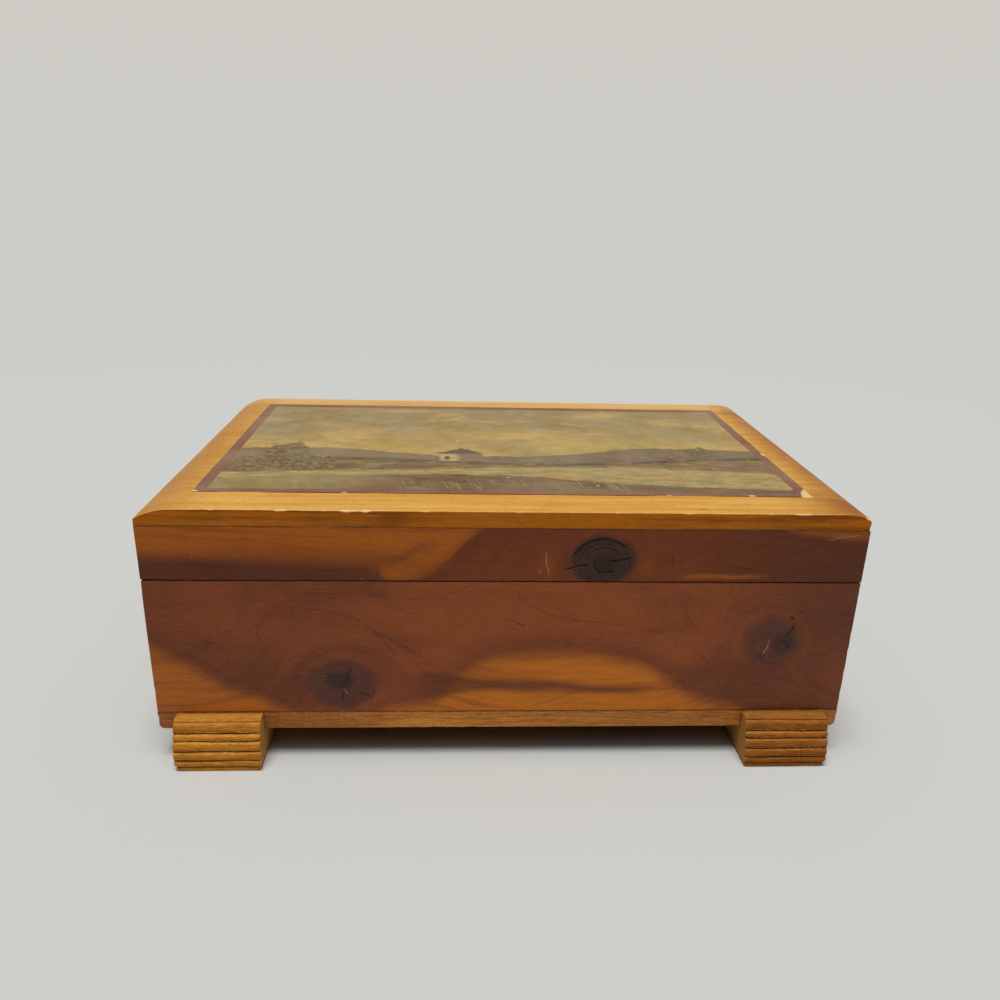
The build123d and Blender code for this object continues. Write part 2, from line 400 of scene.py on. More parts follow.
BODY_WOOD = {
    "heart": ((0.208, 0.053, 0.017), (0.385, 0.093, 0.021)),
    "edge": (0.150, 0.041, 0.018),
    "sap": ((0.500, 0.136, 0.010), (0.762, 0.228, 0.012)),
    "knot": ((0.150, 0.050, 0.031), (0.100, 0.036, 0.025), (0.050, 0.024, 0.019)),
}
LID_WOOD = {
    "heart": ((0.140, 0.034, 0.009), (0.250, 0.055, 0.010)),
    "edge": (0.135, 0.033, 0.011),
    "sap": ((0.410, 0.100, 0.004), (0.560, 0.145, 0.005)),
    "knot": ((0.064, 0.028, 0.017), (0.038, 0.019, 0.014), (0.024, 0.014, 0.011)),
    "grit": 0.95,
}
EDGE_WOOD = {
    "heart": ((0.400, 0.125, 0.022), (0.580, 0.190, 0.028)),
    "edge": (0.340, 0.105, 0.020),
    "sap": ((0.640, 0.220, 0.028), (0.900, 0.370, 0.050)),
    "knot": ((0.100, 0.040, 0.020), (0.062, 0.028, 0.020), (0.050, 0.024, 0.019)),
    "coarse": 0.95,
    "grit": 1.0,
    # painted shade on the faces that point down
    "soiled": 0.9,
    "fibre": (0.46, 0.38, 0.32),
    "fleck": 0.85,
}
LATEWOOD_SHADE = (0.42, 0.33, 0.34)
FIBRE_SHADE = (0.66, 0.58, 0.54)
RAW_HEART = (0.41, 0.165, 0.082)
RAW_HEART_DEEP = (0.29, 0.105, 0.055)
RAW_SAP = (0.64, 0.40, 0.20)
BARE_NICK = (0.62, 0.36, 0.15)
SOOT = (0.010, 0.007, 0.006)


def ring_lines(s, field, along, sharp=0.80):
    """Thin latewood lines where a growth field passes whole numbers. Few are strong, and
    each comes and goes on its way."""
    ring = s.math("FLOOR", field)
    part = field - ring
    line = s.fade(part, sharp, 0.97) * s.fade(part, 1.0, 0.97)
    held = s.fade(s.cloud(along * 0.035, ring * 3.7), 0.36, 0.60)
    return line * s.fade(s.chance(ring), 0.15, 1.0) * (held * 0.85 + 0.15)


def knot(place, radii, core=None, core_radii=(4.0, 3.4), lift=0.0, rings=5.0, spread=7.0,
         marked=0.3, soft=0.76, depth=1.0):
    """A knot: where it lies on the face and how large it is, the same of its dark core, how
    high above it the grain bends most, by how many rings and how far off, how clear its own
    rings are, where its rim starts to soften, and how dark it is."""
    return {"place": place, "radii": radii, "core": core or place, "core_radii": core_radii,
            "raised": (place[0], place[1] + lift), "rings": rings, "spread": spread,
            "marked": marked, "soft": soft, "depth": depth}


def knot_field(s, along, across, place, radii):
    """How many knot radii a point lies from the middle of a knot, a little uneven."""
    wobble = s.cloud(along * 0.13 + place[0], across * 0.13, detail=3) - 0.5
    dx = (along - place[0]) / radii[0]
    dz = (across - place[1]) / radii[1]
    return (dx * dx + dz * dz) ** 0.5 + wobble * 0.4


class Segment(Shader):
    """A node group that gives the distance from (X, Y) to a straight piece of line, which
    starts at (From X, From Y), runs along (Run X, Run Y) and is Length long."""

    NUMBERS = ("X", "Y", "From X", "From Y", "Run X", "Run Y", "Length")

    def __init__(self):
        Graph.__init__(self, bpy.data.node_groups.new("segment_distance", "ShaderNodeTree"))
        face = self.tree.interface
        for number in self.NUMBERS:
            face.new_socket(number, in_out="INPUT", socket_type="NodeSocketFloat")
        face.new_socket("Distance", in_out="OUTPUT", socket_type="NodeSocketFloat")
        start = self.tree.nodes.new("NodeGroupInput")
        x, y, from_x, from_y, run_x, run_y, length = [
            Value(self, start.outputs[number]) for number in self.NUMBERS]
        dx, dy = x - from_x, y - from_y
        half = length * 0.5
        past = self.most(self.size_of(dx * run_x + dy * run_y - half) - half, 0.0)
        off = dy * run_x - dx * run_y
        self.node("NodeGroupOutput", None, {0: (past * past + off * off) ** 0.5})


segment = Segment()


def drawn(s, along, across, lines, reach):
    """Share of thin lines, each drawn through points with a (share, points) pair. Their
    width comes and goes."""
    x = along + (s.cloud(along * 0.6, across * 0.6, detail=3) - 0.5) * 1.3
    y = across + (s.cloud(along * 0.6 + 9, across * 0.6, detail=3) - 0.5) * 1.3
    held = 0.35 + s.cloud(along * 0.8, across * 0.8) * 1.3
    total = 0.0
    for share, points in lines:
        nearest = None
        for (ax, ay), (bx, by) in zip(points, points[1:]):
            length = math.hypot(bx - ax, by - ay)
            run_x, run_y = (bx - ax) / length, (by - ay) / length
            inputs = {0: x, 1: y, 2: ax, 3: ay, 4: run_x, 5: run_y, 6: length}
            away = s.node("ShaderNodeGroup", {"node_tree": segment.tree}, inputs)
            nearest = away if nearest is None else s.least(nearest, away)
        total = s.most(total, s.fade(nearest / held, reach, reach * 0.3) * share)
    return total


def inside_box(s, places, bevel=0.0):
    """Share of bare wood, which lies further in than the varnish runs."""
    x, y, z = places
    well = s.least(half_width - s.size_of(x), half_depth - bevel - s.size_of(y))
    return s.fade(well, 0.8, 1.6)


def inside_bevel(s, places):
    """The same for a back board, whose seam edge is bevelled."""
    return inside_box(s, places, 2.0)


def cedar(name, axes, face, pith, knots=(), zones=None, ring=3.2, seed=0.0, bare=inside_box,
          wood=BODY_WOOD, joints=(), grain=(), cracks=(), scratches=()):
    """Red cedar of one board. axes are the grain's, the width's and the thickness's; face
    is (place, direction inwards) of the varnished face; pith is the log's middle, across
    and in from the face; zones gives the share of sapwood and of dark band; joints are
    (axis, place) pairs where another board meets the face; grain, cracks and scratches are
    lines drawn on it."""
    s = Shader(name)
    places = s.place()
    along, across = places[axes[0]], places[axes[1]]
    depth = (places[axes[2]] - face[0]) * face[1]
    shifted = along + seed

    sway = s.cloud(shifted * 0.009, across * 0.018, depth * 0.02) - 0.5
    waver = s.cloud(shifted * 0.040, across * 0.10, depth * 0.10, detail=4, roughness=0.55) - 0.5
    off_across = across - pith[0] + sway * 26
    off_depth = depth - pith[1]
    field = (off_across * off_across + off_depth * off_depth) ** 0.5 / ring + waver * 1.1

    knot_share, knot_core, knot_rings, halo, rim = 0.0, 0.0, 0.0, 0.0, 0.0
    for each in knots:
        away = knot_field(s, along, across, each["place"], each["radii"])
        lifted = knot_field(s, along, across, each["raised"], each["radii"])
        swell = s.math("EXPONENT", lifted * lifted * (-1 / each["spread"]))
        field = field + swell * each["rings"]
        disc = s.fade(away, 1.11, each["soft"]) * each["depth"]
        knot_share = s.most(knot_share, disc)
        core = knot_field(s, along, across, each["core"], each["core_radii"])
        knot_core = s.most(knot_core, s.fade(core, 1.2, 0.6) * each["depth"])
        own_rings = s.fade(s.math("FRACT", away * 8.5), 0.55, 0.96) * s.fade(away, 1.02, 0.9)
        own_rings = own_rings * s.fade(s.cloud(along * 0.25, across * 0.3), 0.38, 0.60)
        knot_rings = s.most(knot_rings, own_rings * each["marked"])
        halo = s.most(halo, s.fade(away, 2.2, 0.95))
        rim = s.most(rim, s.bell(away, 1.18, 0.16))

    late = ring_lines(s, field, shifted)
    if grain:
        late = s.most(late * 0.4, drawn(s, along, across, grain, 0.46))
    mottle = s.cloud(shifted * 0.013, across * 0.045, depth * 0.04, detail=3, roughness=0.55)
    tone = s.cloud(shifted * 0.008, field * 0.55, detail=3, roughness=0.6)
    streak = s.cloud(shifted * 0.018, field * 1.9, depth * 0.1, detail=3, roughness=0.6)
    fibre = s.cloud(shifted * 0.14, across * 2.3, depth * 2.3, detail=3, roughness=0.65)
    fleck = s.cloud(shifted * 0.45, across * 3.0, depth * 3.0, detail=1)
    grit = s.cloud(shifted * 1.1, across * 3.2, depth * 3.2, roughness=0.8)

    if zones is None:
        outer = s.cloud(shifted * 0.0045 + 9, across * 0.026, depth * 0.03)
        outer = outer + waver * 0.06
        sap = s.fade(outer, 0.55, 0.63)
        band = s.fade(outer, 0.50, 0.56) * (1 - sap)
        glow = 0.0
    else:
        sap, band, glow = zones(s, along, across, waver)

    warmth = s.fade(mottle * 0.55 + tone * 0.20 + streak * 0.25 + glow * 0.12, 0.40, 0.60)
    heart = s.mix(warmth, *wood["heart"])
    heart = s.mix(s.most(band, halo * 0.4) * 0.85, heart, wood["edge"])
    golden = s.mix(s.fade(tone * 0.5 + streak * 0.5, 0.38, 0.60), *wood["sap"])
    colour = s.mix(sap, heart, golden)
    colour = s.shades(
        colour,
        (late * 0.48, LATEWOOD_SHADE),
        (s.fade(streak, 0.52, 0.70) * 0.26, (0.62, 0.50, 0.48)),
        (s.fade(fibre, 0.48, 0.74) * wood.get("coarse", 0.40), wood.get("fibre", FIBRE_SHADE)),
        (s.fade(fleck, 0.64, 0.78) * wood.get("fleck", 0.45), (0.42, 0.34, 0.30)),
    )
    knot_colour = s.mix(s.fade(fibre * 0.5 + mottle * 0.5, 0.40, 0.60), *wood["knot"][:2])
    colour = s.layers(
        colour,
        (s.fade(fibre, 0.46, 0.28) * wood.get("coarse", 0.40) * 0.5, wood["sap"][1]),
        (rim * s.fade(mottle, 0.38, 0.56) * 0.13, wood["sap"][0]),
        (knot_share * 0.90, knot_colour),
        (knot_core * 0.8, wood["knot"][2]),
        (knot_rings * 0.8, SOOT),
    )
    rough_up = s.fade(grit, 0.42, 0.66) * (1 - sap * 0.35) * wood.get("grit", 0.8)
    # Painted shade: faces that point down are darkened by the wood's share, which also deepens the shadow
    # under the case.
    below = s.fade(s.facing()[Z], -0.5, -0.9) * wood.get("soiled", 0.0)
    colour = s.shades(colour, (rough_up, (0.60, 0.55, 0.52)), (below, (0.34, 0.28, 0.24)))

    bare_wood = s.layers(s.mix(late, RAW_HEART, RAW_HEART_DEEP), (sap, RAW_SAP),
                         (knot_share, wood["knot"][0]))
    bare_wood = s.shades(bare_wood, (s.fade(fibre, 0.45, 0.8) * 0.5, (0.70, 0.62, 0.55)))
    inside = bare(s, places)
    colour = s.mix(inside, colour, bare_wood)

    end_grain = s.end_grain(axes[0])
    pores = s.cloud(across * 1.9, depth * 1.9, along * 0.1, detail=3, roughness=0.7)
    colour = s.shades(colour, (end_grain * 0.6, (0.62, 0.52, 0.46)),
                      (end_grain * s.fade(pores, 0.52, 0.66), (0.55, 0.48, 0.42)))

    dirt = s.cloud(shifted * 0.20, across * 0.5, detail=3, roughness=0.7)
    meeting = 0.0
    for axis, place in joints:
        meeting = s.most(meeting, s.bell(places[axis], place, 0.62))
    meeting = meeting * s.fade(dirt, 0.30, 0.55) * (1 - inside)
    worn = s.attribute("wear")
    crack, scratch = 0.0, 0.0
    if cracks:
        crack = drawn(s, along, across, cracks, 0.38) * s.fade(depth, 1.4, 1.0)
    if scratches:
        scratch = drawn(s, along, across, scratches, 0.24) * s.fade(depth, 0.5, 0.3)
    speckle = s.cells(along * 0.16 + 3, across * 0.3, depth * 0.2)
    speck = s.fade(speckle, 0.05, 0.03) * s.fade(mottle, 0.42, 0.55) * (1 - inside)
    colour = s.layers(
        colour,
        (meeting * 0.66, (0.045, 0.016, 0.008)),
        (s.fade(worn + (fibre - 0.5) * 0.9, 0.45, 0.95) * 0.8, s.mix(0.4, BARE_NICK, bare_wood)),
        (scratch, (0.70, 0.40, 0.20)),
        (speck * 0.6, (0.50, 0.33, 0.22)),
        (crack, SOOT),
    )

    rough = 0.38 + 0.12 * s.fade(streak, 0.4, 0.7) + inside * 0.3
    return s.finish(
        height=fibre * 0.6 - late * 0.8 - s.fade(fleck, 0.62, 0.8) * 0.9 - knot_rings - crack * 3,
        relief=0.06,
        Base_Color=colour,
        Roughness=s.least(rough, 0.85),
        Specular_IOR_Level=0.20,
        Coat_Weight=(1 - s.most(inside, end_grain * 0.6)) * 0.10,
        Coat_Roughness=0.3,
        Coat_IOR=1.3,
    )


# What the photographed face shows: places on the front, X and height


def front_zones(s, x, z, waver):
    """Sapwood of the front wall: a lower left corner, a lens in the middle with a dark
    streak through it, and a low band."""
    z = z + waver * 4.0
    left = s.profile(x, [(-131, 48.5), (-113, 37.5), (-99, 28.5), (-84, 21.5), (-70, 13), (131, 5)])
    lens = s.profile(
        x, [(-131, 5), (-46, 14), (-32, 20), (-20, 31), (-6, 41), (20, 44), (48, 40), (60, 33),
            (72, 26), (84, 22), (98, 16), (131, 5)]
    )
    low = s.profile(
        x, [(-131, 8), (-52, 17), (-40, 21.5), (-2, 26.5), (50, 26.5), (83, 22.5), (98, 16), (131, 8)]
    )
    line = s.profile(x, [(-131, 31), (-40, 31), (-13, 31.2), (51, 28.8), (131, 28)])
    thick = s.profile(x, [(-131, 7), (-30, 5.0), (-12, 2.4), (20, 1.4), (50, 0.9), (62, 0.2), (131, 0.1)])
    edge = s.most(left - z, lens - z, low - z)
    streak = s.fade(s.size_of(z - line) - thick, 2.5, -1.2) * s.fade(x, 70, 44) * s.fade(x, -48, -24)
    sap = s.fade(edge, -4.0, 3.6) * (1 - s.fade(x, -60, -120) * 0.28)
    sap = sap * (0.68 + 0.32 * s.fade(edge, -1, 6)) * (1 - streak * 0.85)
    band = s.fade(edge, -14, -3) * s.fade(edge, 1, -3) * 0.48
    right_end = s.fade(x, 62, 122) * (0.42 + 0.50 * s.fade(z, 30, 56))
    left_end = s.fade(x, -30, -80) * 0.30 + s.fade(x, -98, -131) * 0.20
    glow = s.fade(s.size_of(x - 8), 100, 10)
    return sap, s.most(band, streak * 0.9, right_end, left_end), glow


def rail_zones(s, x, z, waver):
    """Sapwood of the lid's front rail: golden to the left of a slanting edge, above a
    dark band along the seam, and a strip at the far right."""
    z = z + waver * 3.4
    slant = s.profile(x, [(-131, 70), (-48, 71), (-31, 75.8), (-24, 80), (-14, 90), (-6, 95), (131, 104)])
    dark_top = s.profile(x, [(-131, 82.8), (-74, 80.6), (-54, 80), (-47, 78.4), (-40, 72), (131, 70)])
    strip = s.profile(x, [(-131, 105), (84, 99), (104, 92.5), (131, 90), (140, 90)])
    line = s.bell(z, 76.6, 1.6) * s.fade(x, 58, 70) * s.fade(x, 98, 84)
    glow = s.bell(x, 14.5, 6.0) * s.bell(z, 81, 11) + s.bell(x, 50, 5.0) * s.bell(z, 82, 11)
    edge = s.least(z - slant, z - dark_top)
    crossing = s.profile(x, [(-131, 80), (-52, 80.5), (-38, 83), (-26, 88), (131, 89)])
    bridge = s.bell(z, crossing, 3.6) * s.fade(x, -56, -45) * s.fade(x, -22, -32)
    gold = s.fade(z - slant, -1.4, 2.0) * s.fade(z - dark_top, -2.2, 3.2)
    gold = gold * (0.55 + 0.45 * s.fade(edge, 0, 6)) * (1 - bridge * 0.55)
    right = s.fade(z - strip, -0.5, 2.5)
    sap = s.most(gold, right * 0.75, line * 0.75, glow * 0.26)
    band = s.fade(z - dark_top, 3.2, -2.6) * s.fade(x, -36, -60)
    rim = s.fade(edge, -10, -1.5) * s.fade(edge, 2, -1) * 0.45
    return sap, s.most(band * 0.9, rim, s.fade(x, 56, 106) * 0.80), s.fade(s.size_of(x - 5), 90, 10)


FRONT_KNOTS = (
    knot((-60.8, 31.7), (12.9, 10.6), (-61.6, 33.0), (5.6, 4.2), lift=9.0, spread=6.0, marked=0.45,
         soft=0.80),
    knot((99.8, 49.2), (11.6, 11.4), (104.4, 48.8), (4.8, 5.0), spread=5.5, marked=0.45, soft=0.66,
         depth=0.80),
)
RAIL_KNOTS = (
    knot((33.5, 82.6), (12.2, 9.6), (35.0, 81.6), (5.0, 4.0), rings=4.0, spread=5.0, marked=1.0,
         soft=0.8),
)

FRONT_GRAIN = (
    (0.75, [(-90.0, 49.5), (-91.0, 53.3), (-87.8, 59.8), (-82.7, 62.0), (-69.0, 62.8), (-55.4, 59.1)]),
    (0.90, [(-55.4, 59.1), (-50.1, 55.4), (-43.6, 47.8), (-40.9, 43.6)]),
    (0.60, [(-123.4, 55.0), (-113.0, 52.3), (-105.7, 48.2), (-101.9, 43.7), (-102.6, 38.8)]),
    (0.60, [(-78.1, 68.8), (-54.5, 68.9), (-40.3, 67.0), (-24.1, 67.3), (-13.3, 72.7)]),
    (0.40, [(-74.2, 42.2), (-72.9, 44.3), (-66.7, 47.5), (-61.9, 47.3)]),
    (0.70, [(3.0, 70.4), (5.5, 65.7), (14.3, 61.0), (26.7, 58.2), (46.7, 56.2)]),
    (0.60, [(46.7, 56.2), (57.0, 53.4), (68.9, 47.1), (76.8, 40.3)]),
    (0.50, [(80.8, 34.1), (81.5, 30.3), (83.2, 27.7)]),
    (0.70, [(8.4, 21.4), (16.0, 23.6), (26.6, 27.6)]),
    (0.50, [(-11.9, 21.9), (-7.0, 26.3)]),
    (0.60, [(65.7, 62.6), (66.8, 59.7), (72.0, 53.7)]),
    (0.50, [(82.9, 70.9), (76.8, 68.5), (71.4, 64.4), (71.0, 60.3)]),
    (0.60, [(81.3, 62.1), (85.7, 65.6), (92.2, 69.2), (101.3, 69.2), (109.7, 66.9), (116.6, 61.0)]),
    (0.40, [(99.0, 34.6), (107.8, 31.5), (119.6, 31.4)]),
    (0.40, [(80.2, 34.1), (86.5, 32.8), (90.1, 30.2)]),
)
FRONT_CRACKS = (
    (0.60, [(-66.6, 36.2), (-64.8, 34.4), (-63.0, 34.4)]),
    (0.52, [(-57.3, 39.0), (-58.6, 35.8), (-60.3, 30.8), (-60.9, 24.3)]),
    (0.55, [(-54.0, 28.2), (-51.6, 26.6), (-50.0, 25.6)]),
    (0.40, [(110.2, 61.6), (107.6, 60.9), (105.8, 59.6)]),
    (0.85, [(105.8, 60.0), (106.8, 58.9)]),
    (0.80, [(107.4, 57.2), (107.0, 55.2), (105.4, 52.2)]),
    (0.60, [(102.4, 49.8), (105.6, 48.8), (106.4, 47.0)]),
    (0.60, [(95.6, 44.0), (97.5, 41.5)]),
    (0.60, [(0.0, 59.0), (3.0, 57.8), (6.0, 56.2)]),
    (0.45, [(22.6, 50.2), (23.0, 48.2)]),
)
FRONT_SCRATCHES = (
    (0.55, [(98.9, 50.1), (98.4, 47.1), (97.3, 44.6)]),
    (0.22, [(94.8, 48.0), (95.3, 45.4)]),
    (0.60, [(-60.5, 29.6), (-60.1, 28.4)]),
    (0.80, [(-59.4, 28.0), (-59.0, 27.8)]),
)
RAIL_GRAIN = (
    (0.80, [(-30.0, 77.1), (-25.9, 78.5), (-18.2, 85.6), (-13.6, 90.8), (-8.4, 94.3)]),
    (0.60, [(-10.4, 75.9), (-9.3, 78.5), (-2.4, 87.6), (0.5, 90.9)]),
    (0.50, [(2.5, 76.6), (3.2, 80.6), (7.1, 88.4)]),
    (0.90, [(74.0, 86.4), (79.6, 80.8), (88.4, 79.2)]),
    (0.50, [(70.3, 86.7), (72.8, 89.3)]),
    (0.50, [(-116.2, 94.3), (-89.2, 92.0), (-62.4, 90.7)]),
)
RAIL_CRACKS = (
    (0.95, [(20.7, 79.0), (24.8, 80.4), (28.8, 80.8)]),
    (1.00, [(35.5, 82.0), (39.7, 82.6), (43.8, 83.5)]),
    (0.90, arc((33.2, 82.0), (10.6, 8.9), 40, 162, 8)),
    (0.75, arc((33.2, 82.0), (9.8, 8.2), 95, 150, 6)),
    (0.60, arc((34.0, 81.8), (6.8, 5.6), 55, 160, 6)),
    (0.50, arc((33.6, 81.9), (8.4, 7.0), 80, 175, 6)),
    (0.80, arc((34.6, 81.4), (4.2, 3.8), 175, 305, 6)),
    (0.50, [(28.0, 76.7), (30.3, 75.1)]),
    (0.60, [(34.8, 91.0), (34.9, 89.4)]),
    (0.45, [(58.4, 84.9), (59.0, 82.6), (59.2, 80.2)]),
    (0.30, [(57.2, 82.5), (61.9, 82.3)]),
)
RAIL_SCRATCHES = (
    (0.36, [(114.6, 90.8), (120.0, 92.2), (126.0, 93.0)]),
    (0.18, [(116.4, 92.4), (121.6, 93.2)]),
    (0.45, [(13.0, 85.4), (13.2, 81.4), (14.6, 77.2)]),
    (0.80, [(10.6, 78.4), (11.3, 77.9)]),
)


# Seam at the back: a bevel behind the pin, and a mortise and a groove at each hinge

hinge_half = (corners("left_hinge_pin")[1][X] - corners("left_hinge_pin")[0][X]) / 2 + 0.1
hinge_middles = [sum(corner[X] for corner in corners(side + "_hinge_pin")) / 2
                 for side in ("left", "right")]
leaf_thickness = 0.8
groove_radius = 1.9
stop_bevel = math.tan(math.radians(50))
seam_reach = 8
mortise_wall = 0.05
hinge_edges = [middle + side * hinge_half + nudge for middle in hinge_middles
               for side in (-1, 1) for nudge in (0, side * mortise_wall)]


def seam_drop(points):
    """How deep the seam edge of a back board is cut at each point."""
    behind = points[:, Y] - pin_y
    drop = np.maximum(behind, 0) * stop_bevel
    groove = np.sqrt(np.maximum(groove_radius**2 - behind**2, 0)) - seam_gap / 2
    pocket = np.maximum(np.maximum(drop, groove), leaf_thickness)
    at_hinge = np.zeros(len(points), bool)
    for middle in hinge_middles:
        at_hinge |= np.abs(points[:, X] - middle) < hinge_half + 0.02
    return np.where(at_hinge, pocket, drop)


def drop_wall(points):
    """Cuts the upper edge of the back wall down, less and less below it."""
    share = np.clip((points[:, Z] - wall_high[Z] + seam_reach) / seam_reach, 0, 1)
    points[:, Z] -= seam_drop(points) * share
    return points


def drop_rail(points):
    """Cuts the lower edge of the lid's back rail up, less and less above it."""
    share = np.clip((rail_low[Z] + seam_reach - points[:, Z]) / seam_reach, 0, 1)
    points[:, Z] += seam_drop(points) * share
    return points


# Boards

BOARD_EDGE, BOARD_RUB = 0.34, 0.35
SIDE_EDGE, SIDE_RUB = 0.25, 0.20
LEAST_EDGE, MOST_EDGE = 0.08, 1.6
PLANE_WAVE = 0.03
PLANE_WAVE_LENGTH = 17
CRACK_WIDTH = 0.42
CRACK_DEPTH = 0.45
CARVED_CRACKS = 7
WORN_FROM, WORN_TO = 0.16, 0.42


def arris_radius(points, plain, wear, seed, nicks=()):
    """Radius of the edges of a board: plain, with rubbed stretches and (x, reach, depth)
    nicks on the way."""
    slow = ripple(points, 26, seed)
    quick = ripple(points, 2.4, seed + 1)
    radius = plain * (1 + 0.35 * slow + 0.25 * quick)
    radius += wear * smooth(slow + quick * 0.6, 0.45, 1.1)
    for place, reach, depth in nicks:
        near = 1 - smooth(np.abs(points[:, X] - place), reach * 0.5, reach)
        radius += depth * near * (0.75 + 0.5 * quick)
    return np.clip(radius, LEAST_EDGE, MOST_EDGE)


def carve(points, faced, lines):
    """Cuts of the lines drawn on a face, as a depth at each point. faced says which points
    are on that face."""
    cut = np.zeros(len(points))
    for share, line in lines:
        cut = np.maximum(cut, closeness(points, line, CRACK_WIDTH, [X, Z]) * share)
    return cut * faced * CRACK_DEPTH


def undulate(points, amount, seed):
    """A hand-planed face: waves of a few hundredths, so that the varnish isn't a mirror."""
    for axis in (X, Y, Z):
        points[:, axis] += amount * ripple(points, PLANE_WAVE_LENGTH, seed + axis)
    return points


def dress_board(name, points, faces, moved, body, material, seed):
    """The piece that a shaped board becomes, worn where its edges are rubbed."""
    points = undulate(points, PLANE_WAVE, seed)
    make_piece(name + "_dressed", points, faces, body, "red_cedar", (name,), material,
               wear=smooth(moved, WORN_FROM, WORN_TO))


def long_board(name, low, high, body, material, seed, fine_x=(), fine_z=(), nicks=(),
               cracks=(), back=False, drop=None, step=1.3):
    """A front or back board of a ring, rabbeted at its ends to take the side boards. Its
    outer face may be cracked, and its seam edge cut down by a drop."""
    rabbet = tongue_y if back else -tongue_y
    edges = hinge_edges if back else ()
    groove = ((pin_y - groove_radius, high[Y]),) if back else ()
    xs = grid_line(low[X], high[X], step, (-inner_x, inner_x, *edges), fine_x)
    ys = grid_line(low[Y], high[Y], 1.6, (rabbet,), groove, 0.22)
    zs = grid_line(low[Z], high[Z], step, (), fine_z)

    def solid(x, y, z):
        in_rabbet = y < rabbet if back else y > rabbet
        return ~((np.abs(x) > inner_x) & in_rabbet)

    points, faces = block_skin(xs, ys, zs, solid)
    radius = arris_radius(points, BOARD_EDGE, BOARD_RUB, seed, nicks)
    outer = high[Y] if back else low[Y]
    faced = np.abs(points[:, Y] - outer) < 0.01
    points, moved = eased(points, low, high, radius)
    points[:, Y] += carve(points, faced, cracks) * (-1 if back else 1)
    if drop is not None:
        points = drop(points)
    dress_board(name, points, faces, moved, body, material, seed)


def side_board(name, body, material, seed):
    """A left or right board of a ring, between the front and the back."""
    low, high = corners(name)
    xs = grid_line(low[X], high[X], 1.6)
    ys = grid_line(low[Y], high[Y], 1.5)
    zs = grid_line(low[Z], high[Z], 1.2)
    points, faces = block_skin(xs, ys, zs)
    points, moved = eased(points, low, high, arris_radius(points, SIDE_EDGE, SIDE_RUB, seed))
    dress_board(name, points, faces, moved, body, material, seed)


wall_joints = [(Z, wall_low[Z]), (Z, wall_high[Z])]
rail_joints = [(Z, rail_low[Z]), (Z, rail_high[Z])]
rabbets = [(Y, -tongue_y), (Y, tongue_y)]

long_board(
    "front_wall", wall_low, wall_high, "case",
    cedar("cedar_front_wall", (X, Z, Y), (-half_depth, 1), (60, 40), FRONT_KNOTS, front_zones,
          joints=wall_joints, grain=FRONT_GRAIN, cracks=FRONT_CRACKS,
          scratches=FRONT_SCRATCHES),
    seed=3, fine_x=((-67, -50), (103, 109)), fine_z=((23, 38), (45, 62)),
    nicks=((28.3, 1.0, 0.3),), cracks=FRONT_CRACKS[:CARVED_CRACKS],
)
long_board(
    "lid_front_rail", rail_low, rail_high, "lid",
    cedar("cedar_lid_front", (X, Z, Y), (-half_depth, 1), (70, 30), RAIL_KNOTS, rail_zones,
          seed=40, wood=LID_WOOD, joints=rail_joints, grain=RAIL_GRAIN, cracks=RAIL_CRACKS,
          scratches=RAIL_SCRATCHES),
    seed=11, fine_x=((20, 45), (56, 60)), fine_z=((74, 95),), nicks=((28.0, 1.4, 0.5),),
    cracks=RAIL_CRACKS[:CARVED_CRACKS],
)
BACK_KNOTS = (knot((44.0, 44.0), (9.0, 8.0)),)
long_board(
    "back_wall", *corners("back_wall"), "case",
    cedar("cedar_back_wall", (X, Z, Y), (half_depth, -1), (40, 30), BACK_KNOTS, seed=210,
          bare=inside_bevel, joints=wall_joints),
    seed=21, back=True, drop=drop_wall, step=1.8,
)
long_board(
    "lid_back_rail", *corners("lid_back_rail"), "lid",
    cedar("cedar_lid_back", (X, Z, Y), (half_depth, -1), (96, 36), seed=330, wood=LID_WOOD,
          bare=inside_bevel, joints=rail_joints),
    seed=31, back=True, drop=drop_rail, step=1.8,
)
SIDE_KNOTS = (knot((22.0, 40.0), (7.5, 7.0)),)
for node, place, inward, pith, knots, seed in (
    ("left_wall", -half_width, 1, (52, 28), (), 95),
    ("right_wall", half_width, -1, (30, 32), SIDE_KNOTS, 150),
    ("lid_left_rail", -half_width, 1, (88, 26), (), 260),
    ("lid_right_rail", half_width, -1, (80, 30), (), 390),
):
    of_lid = node.startswith("lid")
    material = cedar("cedar_" + node, (Y, Z, X), (place, inward), pith, knots, seed=seed,
                     wood=LID_WOOD if of_lid else BODY_WOOD,
                     joints=(rail_joints if of_lid else wall_joints) + rabbets)
    side_board(node, "lid" if of_lid else "case", material, seed)


def under_round(points, low, high, left, right):
    """Rounds the lower corners at the two ends of a block to these radii."""
    reach = max(left, right) * 2.5
    for side, end, radius in ((-1, low[X], left), (1, high[X], right)):
        height = np.clip(points[:, Z] - low[Z], 0, radius)
        cut = radius - np.sqrt(radius**2 - (radius - height) ** 2)
        near = smooth(side * (points[:, X] - end), -reach, 0)
        points[:, X] -= side * cut * near
    return points


def sink_heads(points, low_z, places, depth):
    """Round recesses in an underside, where brad heads lie."""
    rim = head_radius + 0.25
    for x, y in places:
        away = np.hypot(points[:, X] - x, points[:, Y] - y)
        inside = (points[:, Z] < low_z + 0.01) & (away < head_radius + 0.3)
        points[inside, Z] += depth * (1 - smooth(away[inside], head_radius, rim))
    return points


def spans(places, reach):
    """Pairs from a reach before to a reach after each place."""
    return [(place - reach, place + reach) for place in places]


# Bottom board, under the walls, with the heads of the wall brads in its underside

